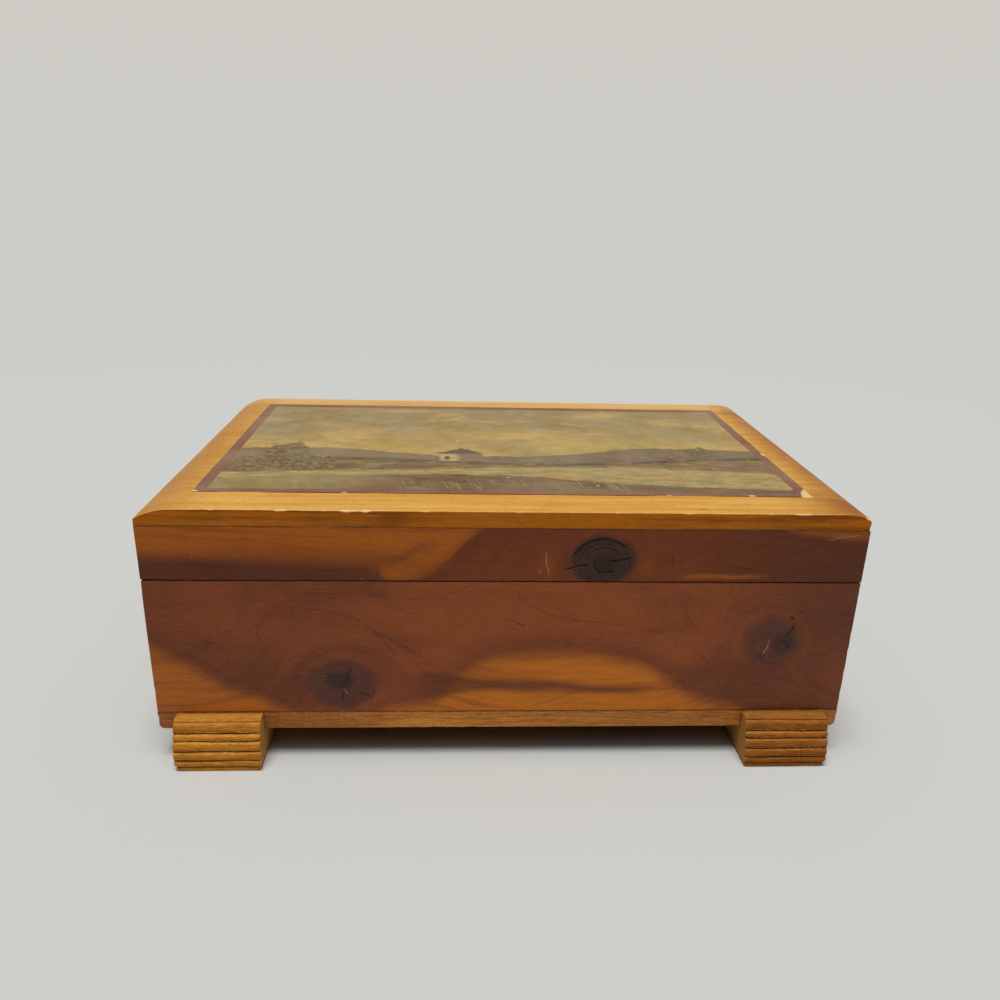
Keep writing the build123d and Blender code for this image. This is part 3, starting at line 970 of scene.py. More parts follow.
head_radius = 1.2
wall_brad_sink = 0.3
board_under_round = 2.2
base_edge, base_rub, base_top_edge = 0.4, 0.5, 0.1
base_wave = 0.04
long_brad_y, short_brad_x = 78.0, 125.25
wall_brads = [(x, side * long_brad_y) for x in (-75, -25, 25, 75) for side in (-1, 1)]
wall_brads += [(side * short_brad_x, y) for y in (-40.75, 40.75) for side in (-1, 1)]


def base_zones(s, x, y, waver):
    """Golden streaks from the left to the middle of the bottom board."""
    patch = s.cloud(x * 0.006 + 2, y * 0.045) + waver * 0.10
    ends = s.fade(x, -128, -90) * (1 - s.fade(x, -10, 90) * 0.75)
    return s.fade(patch, 0.36, 0.56) * ends, 0.0, 0.0


def base_inside(s, places):
    """Bare wood on top of the bottom board, inside the walls."""
    x, y, z = places
    well = s.least(inner_x - s.size_of(x), half_depth - wall_thickness - s.size_of(y))
    return s.fade(z, base_high[Z] - 0.4, base_high[Z] - 0.1) * s.fade(well, -0.3, 0.2)


def bottom_board():
    wood = cedar("cedar_bottom_board", (X, Y, Z), (base_low[Z], 1), (-20, 60), (), base_zones,
                 ring=1.7, seed=77, bare=base_inside, wood=EDGE_WOOD, joints=wall_joints[:1])
    xs = grid_line(base_low[X], base_high[X], 1.6, (), spans({x for x, y in wall_brads}, 1.7), 0.35)
    ys = grid_line(base_low[Y], base_high[Y], 2.4, (), spans({y for x, y in wall_brads}, 1.7), 0.35)
    zs = grid_line(base_low[Z], base_high[Z], 0.8)
    points, faces = block_skin(xs, ys, zs)
    radius = arris_radius(points, base_edge, base_rub, 51)
    radius[points[:, Z] > base_high[Z] - 1.5] = base_top_edge
    points, moved = eased(points, base_low, base_high, radius)
    points = sink_heads(points, base_low[Z], wall_brads, wall_brad_sink)
    points = under_round(points, base_low, base_high, board_under_round, board_under_round)
    points = undulate(points, base_wave, 51)
    make_piece("bottom_board_dressed", points, faces, "case", "red_cedar", ("bottom_board",), wood,
               wear=smooth(moved, 0.2, 0.5))


bottom_board()


# Top board of the lid: golden, its two ends rounded over, and its front arris rubbed bare, with a painted
# highlight along it

left_round = {"run": 13.0, "drop": 3.8}
right_round = {"run": 8.5, "drop": 2.6}
top_edge, top_rub, top_back_edge = 0.42, 0.35, 0.4
top_wave = 0.04
top_wear_and_highlight = 0.4
TOP_GOLD = (0.770, 0.415, 0.076)
TOP_DEEP = (0.620, 0.290, 0.040)
TOP_END = (0.345, 0.112, 0.010)
TOP_EDGE = ((0.300, 0.076, 0.003), (0.545, 0.163, 0.005))
TOP_NICKS = ((-79.6, 2.6, 0.55), (-57.5, 2.0, 0.35), (-51.5, 3.0, 0.5), (-30, 1.2, 0.3), (3, 1.5, 0.3),
             (38, 1.3, 0.35), (63, 2.0, 0.4), (92, 1.2, 0.3), (-104, 1.4, 0.25), (129.4, 2.8, 1.1))


def end_drop(x):
    """How far the top face has fallen away at x, at the rounded ends."""
    drop = np.zeros(len(x))
    for side, end in ((-1, left_round), (1, right_round)):
        radius = (end["run"] ** 2 + end["drop"] ** 2) / (2 * end["drop"])
        past = np.clip(side * x - half_width + end["run"], 0, end["run"])
        drop += radius - np.sqrt(radius**2 - past**2)
    return drop


def golden_cedar():
    """Varnished pale cedar of the top board, browner at its ends and on its edges, and pale with a painted
    highlight along the rubbed front arris.
    """
    s = Shader("golden_cedar_top_board")
    x, y, z = s.place()
    sway = s.cloud(x * 0.006 + 3, y * 0.02, z * 0.05) - 0.5
    waver = s.cloud(x * 0.03, y * 0.16, z * 0.16, detail=3, roughness=0.6) - 0.5
    off_y = y + 30 + sway * 34
    field = (off_y * off_y + (z - 52) * (z - 52)) ** 0.5 / 3.4 + waver * 1.4
    late = ring_lines(s, field, x, 0.55)
    streak = s.cloud(x * 0.012, y * 0.30, z * 0.4, detail=3, roughness=0.6)
    fibre = s.cloud(x * 0.14, y * 2.4, z * 2.8, roughness=0.6)
    fleck = s.cloud(x * 0.5, y * 3.2, z * 3.2, detail=1)
    soil = s.cloud(x * 0.03, y * 0.05, detail=3, roughness=0.65)
    pitted = s.cloud(x * 0.62, y * 0.75, z * 0.75, detail=3, roughness=0.72)

    left_end = s.fade(x, -half_width + 30, -half_width + 2)
    right_end = s.fade(x, half_width - 19, half_width - 2)
    front_right = s.fade(x, 96, 129) * s.fade(y, -30, -76)
    turned = s.most(left_end * 0.62, right_end * 0.90, front_right * 0.95)
    brown = s.least(turned * (0.60 + soil * 0.8), 1.0)
    calm = 1 - s.most(left_end, right_end) * 0.7
    ahead, up = s.size_of(s.facing()[Y]), s.facing()[Z]
    edge = s.fade(ahead, 0.55, 0.85)
    edge_tone = streak * 0.6 + soil * 0.4 + s.fade(s.size_of(x - 6), 90, 20) * 0.07
    colour = s.layers(
        TOP_GOLD,
        (s.fade(streak, 0.36, 0.64) * calm * 0.65, TOP_DEEP),
        (brown, TOP_END),
        (s.fade(y, 62, 82) * 0.35, (0.76, 0.56, 0.27)),
        (edge, s.mix(s.fade(edge_tone, 0.38, 0.60), *TOP_EDGE)),
    )
    colour = s.shades(
        colour,
        (late * calm * 0.20, (0.60, 0.44, 0.32)),
        (s.fade(streak, 0.50, 0.68) * calm * 0.14, (0.72, 0.56, 0.42)),
        (s.fade(fibre, 0.50, 0.76) * 0.24, (0.74, 0.64, 0.52)),
        (s.fade(fleck, 0.64, 0.80) * 0.36, (0.50, 0.36, 0.26)),
        (s.fade(pitted, 0.50, 0.68) * 0.42, (0.70, 0.56, 0.42)),
        (s.fade(soil, 0.54, 0.72) * 0.40, (0.74, 0.66, 0.46)),
        (s.bell(z, top_low[Z], 0.6) * edge * 0.60, (0.22, 0.10, 0.05)),
    )
    colour = s.mix(s.fade(fibre, 0.44, 0.26) * 0.22, colour, (0.80, 0.50, 0.16))
    bare_wood = s.mix(s.fade(streak, 0.36, 0.60), (0.68, 0.43, 0.21), (0.54, 0.30, 0.13))
    bare_wood = s.shades(
        bare_wood,
        (late * 0.35, (0.62, 0.45, 0.34)),
        (s.fade(fibre, 0.5, 0.8) * 0.4, (0.74, 0.64, 0.52)),
    )
    under = s.fade(z, top_low[Z] + 0.5, top_low[Z] + 0.1) * s.fade(up, -0.3, -0.8)
    colour = s.mix(under, colour, bare_wood)

    torn_x = s.fade(x, 109.4, 110.0) * s.fade(x, 114.9, 114.7)
    torn = torn_x * s.fade(y, print_low[Y] - 0.1, print_low[Y]) * s.fade(y, -55.5, -56.5)
    torn = torn * s.fade(z, lid_top - 1.0, lid_top - 0.5)
    end_grain = s.end_grain(X)
    pores = s.cloud(y * 1.8, z * 1.8, x * 0.1, detail=3, roughness=0.7)
    smudge = s.bell(x - 69 + (fibre - 0.5) * 5, 0, 2.6) * s.bell(y + 78.6, 0, 1.5)
    colour = s.shades(
        colour,
        (end_grain * 0.5, (0.66, 0.52, 0.42)),
        (end_grain * s.fade(pores, 0.52, 0.66), (0.6, 0.5, 0.4)),
        (smudge * 0.7, (0.50, 0.62, 0.36)),
    )
    rough_up = (fibre - 0.5) * 0.6 + (s.cloud(x * 0.6, y * 0.4, z * 0.6, detail=3) - 0.5) * 0.6
    at_end = s.fade(s.size_of(x), half_width - 1.6, half_width - 0.6)
    # Partly real wear, partly painted highlight: along the rubbed front arris the wear mark is painted
    # pale and bright, for the bare wood and the light that the edge catches.
    worn = s.attribute("wear") * (1 - at_end * s.fade(s.size_of(y), 82, 80) * 0.8)
    colour = s.layers(
        colour,
        (s.fade(worn + rough_up * 0.34, 0.07, 0.34) * 0.74, (0.95, 0.64, 0.25)),
        (s.fade(worn + rough_up, 0.50, 0.95) * 0.85, (0.95, 0.74, 0.42)),
        (torn, s.mix(s.fade(fibre, 0.4, 0.7), (0.83, 0.58, 0.27), (0.70, 0.44, 0.18))),
    )
    varnish = (1 - s.most(under, torn, brown)) * 0.08
    return s.finish(
        height=fibre * 0.6 - late * 0.7 - s.fade(fleck, 0.62, 0.8) * 0.8,
        relief=0.05,
        Base_Color=colour,
        Roughness=0.40 + 0.14 * s.fade(streak, 0.4, 0.7) + s.most(under, torn) * 0.3,
        Specular_IOR_Level=0.07,
        Coat_Weight=varnish,
        Coat_Roughness=0.28,
        Coat_IOR=1.35,
    )


def top_board():
    xs = grid_line(top_low[X], top_high[X], 1.4, (), ((-82, -49), (126, 130)), 0.5)
    ys = grid_line(top_low[Y], top_high[Y], 1.9)
    zs = grid_line(top_low[Z], top_high[Z], 0.7)
    points, faces = block_skin(xs, ys, zs)
    radius = arris_radius(points, top_edge, top_rub, 61, TOP_NICKS)
    behind = smooth(points[:, Y], top_low[Y] + 2, top_low[Y] + 4)
    radius = radius * (1 - behind) + top_back_edge * behind
    points, moved = eased(points, top_low, top_high, radius)
    height = top_high[Z] - top_low[Z]
    points[:, Z] -= end_drop(points[:, X]) * (points[:, Z] - top_low[Z]) / height
    points = undulate(points, top_wave, 61)
    upper = smooth(points[:, Z], top_low[Z] + 1, top_low[Z] + 2)
    make_piece("lid_top_board_dressed", points, faces, "lid", "golden_cedar", ("lid_top_board",),
               golden_cedar(), wear=np.clip(moved / top_wear_and_highlight, 0, 1) * upper)


top_board()


# Picture on the lid: a country scene, printed on paper with a plain dark border

torn_edge = ((0, 4.25, 7.3, 8.5), (-4.0, -2.8, -1.2, 0.0))
print_mid_x = (print_low[X] + print_high[X]) / 2
PRINT_NICKS = ((-114.2, -64.6, 1.5, 1.1), (114.4, -10.6, 0.7, 2.4), (91.7, -64.6, 1.4, 0.8),
               (0.9, -46.0, 0.6, 0.5), (35.0, -54.5, 0.7, 0.5), (-19.0, 5.4, 0.5, 0.7),
               (60.0, -64.9, 1.0, 0.5), (-60.0, -64.9, 1.2, 0.4))


def sky(s, u, v):
    """Ochre evening sky under drifting grey clouds; v is the height in the picture."""
    bend = s.cloud(u * 0.012 + 3, v * 0.02) - 0.5
    drift = s.cloud(u * 0.013 + bend * 1.4, v * 0.028 + bend, detail=5, roughness=0.62)
    bank = s.cloud(u * 0.020 + 7, v * 0.045 + 3 + bend * 2, detail=5, roughness=0.60)
    return s.layers(
        s.mix(s.fade(v, 112, 50), (0.330, 0.240, 0.095), (0.480, 0.325, 0.090)),
        (s.fade(bank, 0.50, 0.62) * 0.62, (0.600, 0.385, 0.103)),
        (s.fade(drift, 0.45, 0.62) * 0.60, (0.300, 0.216, 0.088)),
        (s.fade(drift, 0.56, 0.70) * 0.38, (0.195, 0.132, 0.070)),
    )


def clump(s, u, v, middle, foot, size, seed):
    """Share of a leafy crown that stands at foot, about size across."""
    rag = s.cloud(u * 0.22 + seed, v * 0.24, detail=4, roughness=0.75) - 0.5
    dx = (u - middle) / size[0]
    dy = (v - foot - size[1] * 0.5) / size[1]
    return s.fade(dx * dx + dy * dy * 2.2 + rag * 1.9, 1.0, 0.80) * s.fade(v, foot - 1, foot + 0.5)


def slab(s, u, v, left, right, low, high):
    """1 inside an upright oblong with soft edges."""
    inside = s.least(s.least(u - left, right - u), s.least(v - low, high - v))
    return s.fade(inside, -0.4, 0.6)


def picture(s, u, v):
    """Low hills, a pond, a cottage and trees. u runs across from the middle, v up."""
    grain = s.cloud(u * 0.07, v * 0.32, detail=5, roughness=0.72)
    patchy = s.cloud(u * 0.035 + 5, v * 0.10, detail=3, roughness=0.6)
    leaf = s.cloud(u * 0.4, v * 0.45, detail=4, roughness=0.75)
    wobble = (grain - 0.5) * 4
    far = s.profile(u, [(-115, 50), (-80, 57), (-46, 52), (-10, 47), (34, 52), (70, 61), (115, 54)])
    near = s.profile(u, [(-115, 40), (-70, 43), (-30, 41), (8, 37), (52, 40), (86, 46), (115, 48)])
    bank = s.profile(u, [(-115, 14), (-60, 20), (-14, 22), (26, 17), (66, 10), (115, 7)])
    pond_top = s.profile(u, [(-115, 22), (-30, 29), (4, 32), (40, 33), (78, 31), (115, 24)])

    meadow = s.mix(s.fade(grain, 0.40, 0.60), (0.130, 0.088, 0.030), (0.310, 0.215, 0.062))
    meadow = s.mix(s.fade(patchy, 0.46, 0.60) * 0.7, meadow, (0.175, 0.080, 0.042))
    hedge = s.bell(v - near + 0.5 + wobble, 0, 3.2) * s.fade(s.cloud(u * 0.05), 0.42, 0.50)
    cottage = s.mix(s.fade(u, -20, -17), (0.520, 0.370, 0.130), (0.240, 0.150, 0.072))
    roof = s.fade(59 - v - s.size_of(u + 17) * 0.75, 0.0, 0.8) * s.fade(v, 50, 51)
    pond = s.fade(v - pond_top + wobble * 0.4, 0.5, -0.4) * s.fade(v - bank + wobble, -0.4, 0.8)
    shine = s.mix(s.fade(grain, 0.42, 0.58), (0.460, 0.320, 0.105), (0.330, 0.240, 0.095))
    ground = s.layers(
        s.mix(s.fade(grain, 0.38, 0.58), (0.110, 0.072, 0.036), (0.215, 0.145, 0.050)),
        (s.fade(patchy, 0.44, 0.58) * 0.7, (0.175, 0.078, 0.044)),
        (s.fade(u, -30, -90) * 0.7, (0.370, 0.272, 0.095)),
    )
    trees, far_trees = [
        s.most(*[clump(s, u, v, *crown) for crown in crowns])
        for crowns in (
            [(-90, 27, (11, 34), 0), (-75, 26, (8, 20), 5), (-102, 25, (7, 20), 11)],
            [(88, 44, (8, 17), 17), (74, 42, (5, 10), 23), (22, 37, (7, 8), 29)],
        )
    ]
    leaves = s.mix(s.fade(leaf, 0.44, 0.60), (0.100, 0.070, 0.028), (0.300, 0.205, 0.058))
    return s.layers(
        sky(s, u, v),
        (s.fade(v - far + wobble, 0.8, -0.4) * 0.9, (0.190, 0.128, 0.080)),
        (s.fade(v - near + wobble, 0.8, -0.4), meadow),
        (hedge * 0.9, (0.068, 0.046, 0.026)),
        (slab(s, u, v, -26, -8, 40, 51), cottage),
        (roof, (0.130, 0.066, 0.040)),
        (slab(s, u, v, -24, -22, 42, 47), (0.060, 0.040, 0.028)),
        (pond, shine),
        (s.fade(v - bank + wobble, 0.6, -0.6), ground),
        (far_trees * 0.80, s.mix(0.35, leaves, (0.16, 0.10, 0.06))),
        (trees * 0.92, leaves),
    )


def print_paint():
    """The picture in small dabs, its border, and the wear of the paper under its varnish."""
    s = Shader("varnished_print")
    x, y, z = s.place()
    u = x - print_mid_x
    v = y - print_low[Y]
    width, depth = print_high[X] - print_low[X], print_high[Y] - print_low[Y]
    smear = s.cloud(u * 0.12, v * 0.12) - 0.5
    dab = s.split(s.cells((u + smear * 6) * 0.50, (v + smear * 3) * 0.70, output="Position"))
    colour = picture(s, dab[0] / 0.50 * 0.6 + u * 0.4, dab[1] / 0.70 * 0.6 + v * 0.4)
    blade = s.cloud(u * 0.85 + v * 0.22, v * 0.035, roughness=0.5)
    tufts = s.fade(s.cloud(u * 0.035 + 4, v * 0.06), 0.44, 0.56)
    grass = s.fade(blade, 0.52, 0.64) * tufts * s.fade(v + smear * 9, 17, 13)
    colour = s.mix(grass * 0.55, colour, (0.400, 0.300, 0.115))
    tint = s.chance(dab[0] * 3.1 + dab[1] * 7.7)
    colour = s.shades(colour, (tint * 0.20, (0.66, 0.62, 0.56)))
    outline = s.cells((u + smear * 6) * 0.16, (v + smear * 5) * 0.20)
    colour = s.shades(colour, (s.fade(outline, 0.45, 0.75) * 0.25, (0.55, 0.46, 0.36)))

    fibre = s.cloud(u * 0.9, v * 0.9, detail=3, roughness=0.7)
    side = s.least(width / 2 - s.size_of(u), s.least(v, depth - v))
    ragged = side + (fibre - 0.5) * 0.6
    inner = s.least((width / 2 - s.size_of(u)) / 4.4, s.least(v / 3.6, (depth - v) / 5.6))
    maroon = s.mix(s.fade(fibre, 0.35, 0.65), (0.175, 0.065, 0.036), (0.255, 0.108, 0.060))
    colour = s.mix(s.fade(inner + (fibre - 0.5) * 0.1, 1.05, 0.95), colour, maroon)
    soil = s.cloud(u * 0.025, v * 0.04, detail=3, roughness=0.6)
    colour = s.shades(colour, (s.fade(soil, 0.48, 0.70) * 0.30, (0.78, 0.68, 0.48)))
    faded = s.fade(s.cloud(u * 0.02 + 8, v * 0.05, detail=3), 0.45, 0.62)
    colour = s.mix(faded * 0.14, colour, (0.50, 0.36, 0.17))

    nicks = s.fade(ragged, 0.08, 0.0) * s.fade(soil, 0.50, 0.60)
    for nick_x, nick_y, reach_x, reach_y in PRINT_NICKS:
        dx = (x - nick_x) / reach_x
        dy = (y - nick_y) / reach_y
        nicks = s.most(nicks, s.fade(dx * dx + dy * dy + (fibre - 0.5) * 2.4, 1.0, 0.7))
    paper = s.most(nicks, s.fade(s.attribute("wear"), 0.35, 0.7))
    colour = s.mix(paper, colour, (0.72, 0.53, 0.28))
    haze = s.cloud(u * 0.05, v * 0.03, detail=3)
    return s.finish(
        height=fibre * 0.7 + smear * 0.6 - s.fade(ragged, 0.5, 0.0),
        relief=0.05,
        Base_Color=colour,
        Roughness=0.40 + 0.22 * s.fade(haze, 0.4, 0.65),
        Specular_IOR_Level=0.15,
        Coat_Weight=0.09,
        Coat_Roughness=0.26,
        Coat_IOR=1.4,
    )


def picture_print():
    front, right = print_low[Y], print_high[X]
    xs = grid_line(print_low[X], right, 1.5, (), ((right - 5.5, right),), 0.22)
    ys = grid_line(front, print_high[Y], 1.5, (), ((front, front + 10),), 0.22)

    def solid(x, y, z):
        tear = np.interp(y - front, *torn_edge) + 0.35 * np.sin(y * 5.1) * np.sin(y * 2.3)
        return x < right + np.where(y - front < torn_edge[0][-1], tear, 1)

    points, faces = block_skin(xs, ys, np.array([print_low[Z], print_high[Z]]), solid)
    tear = right + np.interp(points[:, Y] - front, *torn_edge) - points[:, X]
    by_tear = (1 - smooth(tear, 0.1, 0.4)) * (points[:, Y] < front + torn_edge[0][-1] + 0.4)
    edge = np.minimum(points[:, X] - print_low[X], right - points[:, X])
    edge = np.minimum(edge, np.minimum(points[:, Y] - front, print_high[Y] - points[:, Y]))
    cockle = ripple(points, (30, 22, 50), 71) * smooth(edge, 0, 12)
    frayed = ripple(points, 1.7, 72) * (1 - smooth(edge, 0, 1.2))
    top_side = points[:, Z] > print_low[Z] + 0.1
    points[:, Z] += top_side * (0.05 * cockle + 0.04 * frayed + 0.06 * by_tear)
    points[:, X] += 0.10 * frayed * np.sign(points[:, X] - print_mid_x)
    make_piece("picture_print_dressed", points, faces, "lid", "print", ("picture_print",),
               print_paint(), wear=by_tear)


picture_print()


# Feet: blocks with a convex, hand-sawn reeded front, notched over the bottom board

FEET = ("front_left_foot", "front_right_foot", "back_left_foot", "back_right_foot")
foot_reach = 8.85
foot_lip = 3.55
foot_bulge = 2.15
foot_deep = 32.0
foot_outer_round, foot_inner_round = 3.6, 1.4
foot_edge, foot_rub = 0.30, 0.3
foot_wave = 0.05
foot_height = corners("front_left_foot")[1][Z]
kerf_heights = (1.7, 4.35, 8.05, 11.75, 14.4)
kerf_half = 0.38
kerf_depth = 1.1
faint_split = 18.0
shallow_kerf, faint_kerf = 0.45, 0.26
reed_rise, reed_set_back = 0.45, 0.38
foot_brad_sink = 0.75
foot_brad_spread = 14.0
foot_brad_stagger = 5.0
foot_brad_middle = half_depth - 11.575


def foot_front(height):
    """How far a foot's front stands out of the case at a height: an arc over its chord."""
    chord = math.hypot(foot_reach - foot_lip, foot_height)
    radius = (chord**2 / 4 + foot_bulge**2) / (2 * foot_bulge)
    lean_out, lean_up = foot_height / chord, (foot_reach - foot_lip) / chord
    centre_out = (foot_reach + foot_lip) / 2 + lean_out * (foot_bulge - radius)
    centre_up = foot_height / 2 + lean_up * (foot_bulge - radius)
    return centre_out + np.sqrt(radius**2 - (height - centre_up) ** 2)


def foot_cedar(name, pale, deep, pale_fibre_and_glint, seed):
    """Coarse cedar: rubbed golden on the reeds, pale fibres with a painted glint at the kerfs, the kerfs
    darkened, painted shade on the upper reeds, in the crease under the case and on faces that point down,
    and a painted highlight on the lip.
    """
    s = Shader(name)
    x, y, z = s.place()
    x = x + seed
    streak = s.cloud(x * 0.05, y * 0.5, z * 0.9, detail=3, roughness=0.65)
    fibre = s.cloud(x * 0.30, y * 2.2, z * 4.0, detail=3, roughness=0.7)
    patch = s.cloud(x * 0.11, y * 0.11, z * 0.22, detail=3, roughness=0.6)
    hair = s.cloud(x * 0.22, y * 3.0, z * 7.0, roughness=0.75)
    colour = s.mix(s.fade(streak * 0.6 + patch * 0.4, 0.40, 0.60), deep, pale)
    colour = s.shades(
        colour,
        (s.fade(fibre, 0.48, 0.68) * 0.75, (0.58, 0.42, 0.30)),
        (s.fade(hair, 0.50, 0.66) * 0.42, (0.55, 0.42, 0.30)),
        # Painted shade: the upper reeds, which face the overhead light more, are darkened.
        (s.fade(z, 12.0, 16.5), (0.76, 0.72, 0.66)),
    )
    colour = s.mix(s.fade(hair, 0.46, 0.32) * 0.45, colour, pale_fibre_and_glint)

    ends = s.end_grain(X)
    pores = s.cloud(y * 2.0, z * 2.0, x * 0.2, detail=3, roughness=0.75)
    arcs = s.math("FRACT", ((y * y + (z + 26) * (z + 26)) ** 0.5 + (patch - 0.5) * 5) * 0.50)
    end_colour = s.mix(0.45, s.mix(s.fade(pores, 0.42, 0.62), pale, deep), (0.68, 0.42, 0.13))
    end_colour = s.shades(end_colour, (s.fade(arcs, 0.4, 1.0) * 0.28, (0.6, 0.5, 0.38)))
    colour = s.mix(ends, colour, end_colour)

    kerf, fuzz = s.attribute("kerf"), s.attribute("fuzz")
    shreds = s.cloud(x * 1.5, y * 2.0, z * 3.2, roughness=0.75)
    colour = s.layers(
        colour,
        # Partly pale torn fibres, partly a painted glint: the kerf lips are lightened.
        (s.fade(fuzz + (shreds - 0.5) * 3.2, 0.70, 1.15) * 0.75, pale_fibre_and_glint),
        (s.fade(kerf, 0.24, 0.84) * 0.80, (0.060, 0.020, 0.005)),
    )
    # Painted shade with grime: the crease where the foot's top meets the case is darkened in patches.
    joint = s.fade(z, foot_height - 1.0, foot_height - 0.2)
    joint = joint * s.fade(s.size_of(y) - half_depth, 1.5, 0.3)
    grime_and_shade = s.fade(s.cloud(x * 0.5, y * 0.9, detail=3, roughness=0.7), 0.36, 0.54)
    colour = s.mix(joint * grime_and_shade * 0.8, colour, (0.060, 0.032, 0.014))
    # Painted highlight: faces that point up, the top lip, are lightened.
    lip = s.fade(s.facing()[Z], 0.5, 0.85)
    colour = s.mix(lip * 0.20, colour, pale_fibre_and_glint)
    # Painted shade: faces that point down are darkened.
    below = s.fade(s.facing()[Z], -0.5, -0.9)
    colour = s.shades(colour, (below * 0.6, (0.5, 0.42, 0.34)))
    return s.finish(
        height=fibre + shreds * 0.5 + pores * ends * 1.2,
        relief=0.16,
        Base_Color=colour,
        Roughness=0.55 + ends * 0.25 + s.fade(kerf, 0.2, 0.8) * 0.2,
        Specular_IOR_Level=0.12,
    )


def foot(name, wood, seed):
    """One foot. It is made as a front foot and turned about for the back."""
    low, high = corners(name)
    middle = (low[X] + high[X]) / 2
    back_row = low[Y] > 0
    back_y = foot_deep - half_depth - foot_reach
    brads = [(middle + side * foot_brad_spread / 2, -foot_brad_middle - side * foot_brad_stagger / 2)
             for side in (-1, 1)]
    if back_row:
        brads = [(x, -foot_brad_middle + side * foot_brad_stagger / 2)
                 for side, (x, y) in zip((1, -1), brads)]

    xs = grid_line(low[X], high[X], 0.7, (), spans([x for x, y in brads], 1.6), 0.35)
    fronts = tuple(-half_depth - foot_reach * share for share in (0.93, 0.86, 0.75, 0.6, 0.4))
    ys = grid_line(-half_depth - foot_reach, back_y, 1.6, (-half_depth, *fronts),
                   spans([y for x, y in brads], 1.6), 0.35)
    zs = grid_line(0, foot_height, 0.5, (base_low[Z],), spans(kerf_heights, 0.8), 0.13)

    def solid(x, y, z):
        return ~((y > -half_depth) & (z > base_low[Z]))

    points, faces = block_skin(xs, ys, zs, solid)
    box_low = np.array([low[X], -half_depth - foot_reach, 0])
    box_high = np.array([high[X], back_y, foot_height])
    radius = arris_radius(points, foot_edge, foot_rub, seed)
    near_end = np.minimum(points[:, X] - low[X], high[X] - points[:, X]) < 1.0
    radius = np.where(near_end & (points[:, Y] < -half_depth), radius + 0.5, radius)
    points, _ = eased(points, box_low, box_high, radius)
    x, z = points[:, X].copy(), points[:, Z].copy()

    forward = np.clip((-half_depth - points[:, Y]) / foot_reach, 0, 1)
    near_face = np.clip((forward - 0.6) / 0.4, 0, 1)
    drift = np.stack([x, np.zeros(len(x)), z], axis=1)
    kerf = np.zeros(len(points))
    fuzz = np.zeros(len(points))
    crown = np.full(len(points), np.inf)
    for number, height in enumerate(kerf_heights + (faint_split,)):
        strength = {kerf_heights[0]: shallow_kerf, faint_split: faint_kerf}.get(height, 1.0)
        wander = 0.14 * ripple(drift, (9, 1, 40), seed + number)
        rag = 0.26 * ripple(drift, (1.1, 1, 0.5), seed + 20 + number)
        away = np.abs(z - height - wander)
        half = kerf_half * (1 + 0.35 * ripple(drift, (6, 1, 40), seed + 40 + number)) + rag * 0.5
        held = strength * (0.8 + 0.35 * ripple(drift, (3.5, 1, 40), seed + 80 + number))
        kerf = np.maximum(kerf, (1 - smooth(away, half * 0.3, half)) * np.clip(held, 0, 1))
        fuzz = np.maximum(fuzz, (1 - smooth(np.abs(away - half - 0.15), 0, 0.35)) * strength)
        crown = np.minimum(crown, away if strength == 1.0 else away + 0.6)
    crown = np.minimum(crown, foot_height - z)
    out = foot_front(np.clip(z, 0, foot_height))
    out += reed_rise * smooth(crown, 0.1, 1.3) - reed_set_back
    out += 0.10 * ripple(drift, (3.0, 1, 0.7), seed + 60) + 0.05 * ripple(drift, (0.8, 1, 0.35), seed + 61)
    ahead = points[:, Y] < -half_depth
    points[ahead, Y] = (-half_depth - forward * out + kerf_depth * kerf * near_face)[ahead]

    rounds = (foot_outer_round, foot_inner_round)
    points = sink_heads(points, 0, brads, foot_brad_sink)
    points = under_round(points, box_low, box_high, *(rounds if middle < 0 else rounds[::-1]))
    points = undulate(points, foot_wave, seed)
    if back_row:
        points[:, Y] *= -1
        faces = faces[:, ::-1]
    make_piece(name + "_dressed", points, faces, "case", "foot_cedar", (name,), wood,
               kerf=kerf * near_face, fuzz=fuzz * (near_face > 0.5))


golden_foot = foot_cedar("foot_cedar_golden", (0.645, 0.268, 0.022), (0.530, 0.176, 0.012),
                         (0.95, 0.52, 0.10), 0)
brown_foot = foot_cedar("foot_cedar_brown", (0.395, 0.128, 0.012), (0.290, 0.080, 0.007),
                        (0.70, 0.32, 0.06), 60)
for number, name in enumerate(FEET):
    foot(name, golden_foot if number in (0, 3) else brown_foot, 101 * (number + 1))


# Hinges, screws and brads keep their CAD shapes and get aged metal


def aged_brass():
    s = Shader("aged_brass")
    x, y, z = s.place()
    tarnish = s.cloud(x * 0.22, y * 0.3, z * 0.3, detail=4, roughness=0.65)
    speckle = s.cloud(x * 1.6, y * 1.6, z * 1.6, detail=3, roughness=0.7)
    brushed = s.cloud(x * 0.3, y * 5, z * 5)
    bright, dull, brown = (0.56, 0.39, 0.15), (0.40, 0.25, 0.09), (0.17, 0.10, 0.05)
    colour = s.ramp(tarnish, (0.30, bright), (0.52, dull), (0.70, brown))
    colour = s.shades(colour, (s.fade(speckle, 0.55, 0.70) * 0.6, (0.45, 0.42, 0.34)))
    return s.finish(
        height=brushed * 0.5 + speckle,
        relief=0.03,
        Base_Color=colour,
        Metallic=1 - s.fade(tarnish, 0.55, 0.75) * 0.5,
        Roughness=0.30 + 0.3 * s.fade(tarnish, 0.4, 0.7) + 0.1 * brushed,
    )


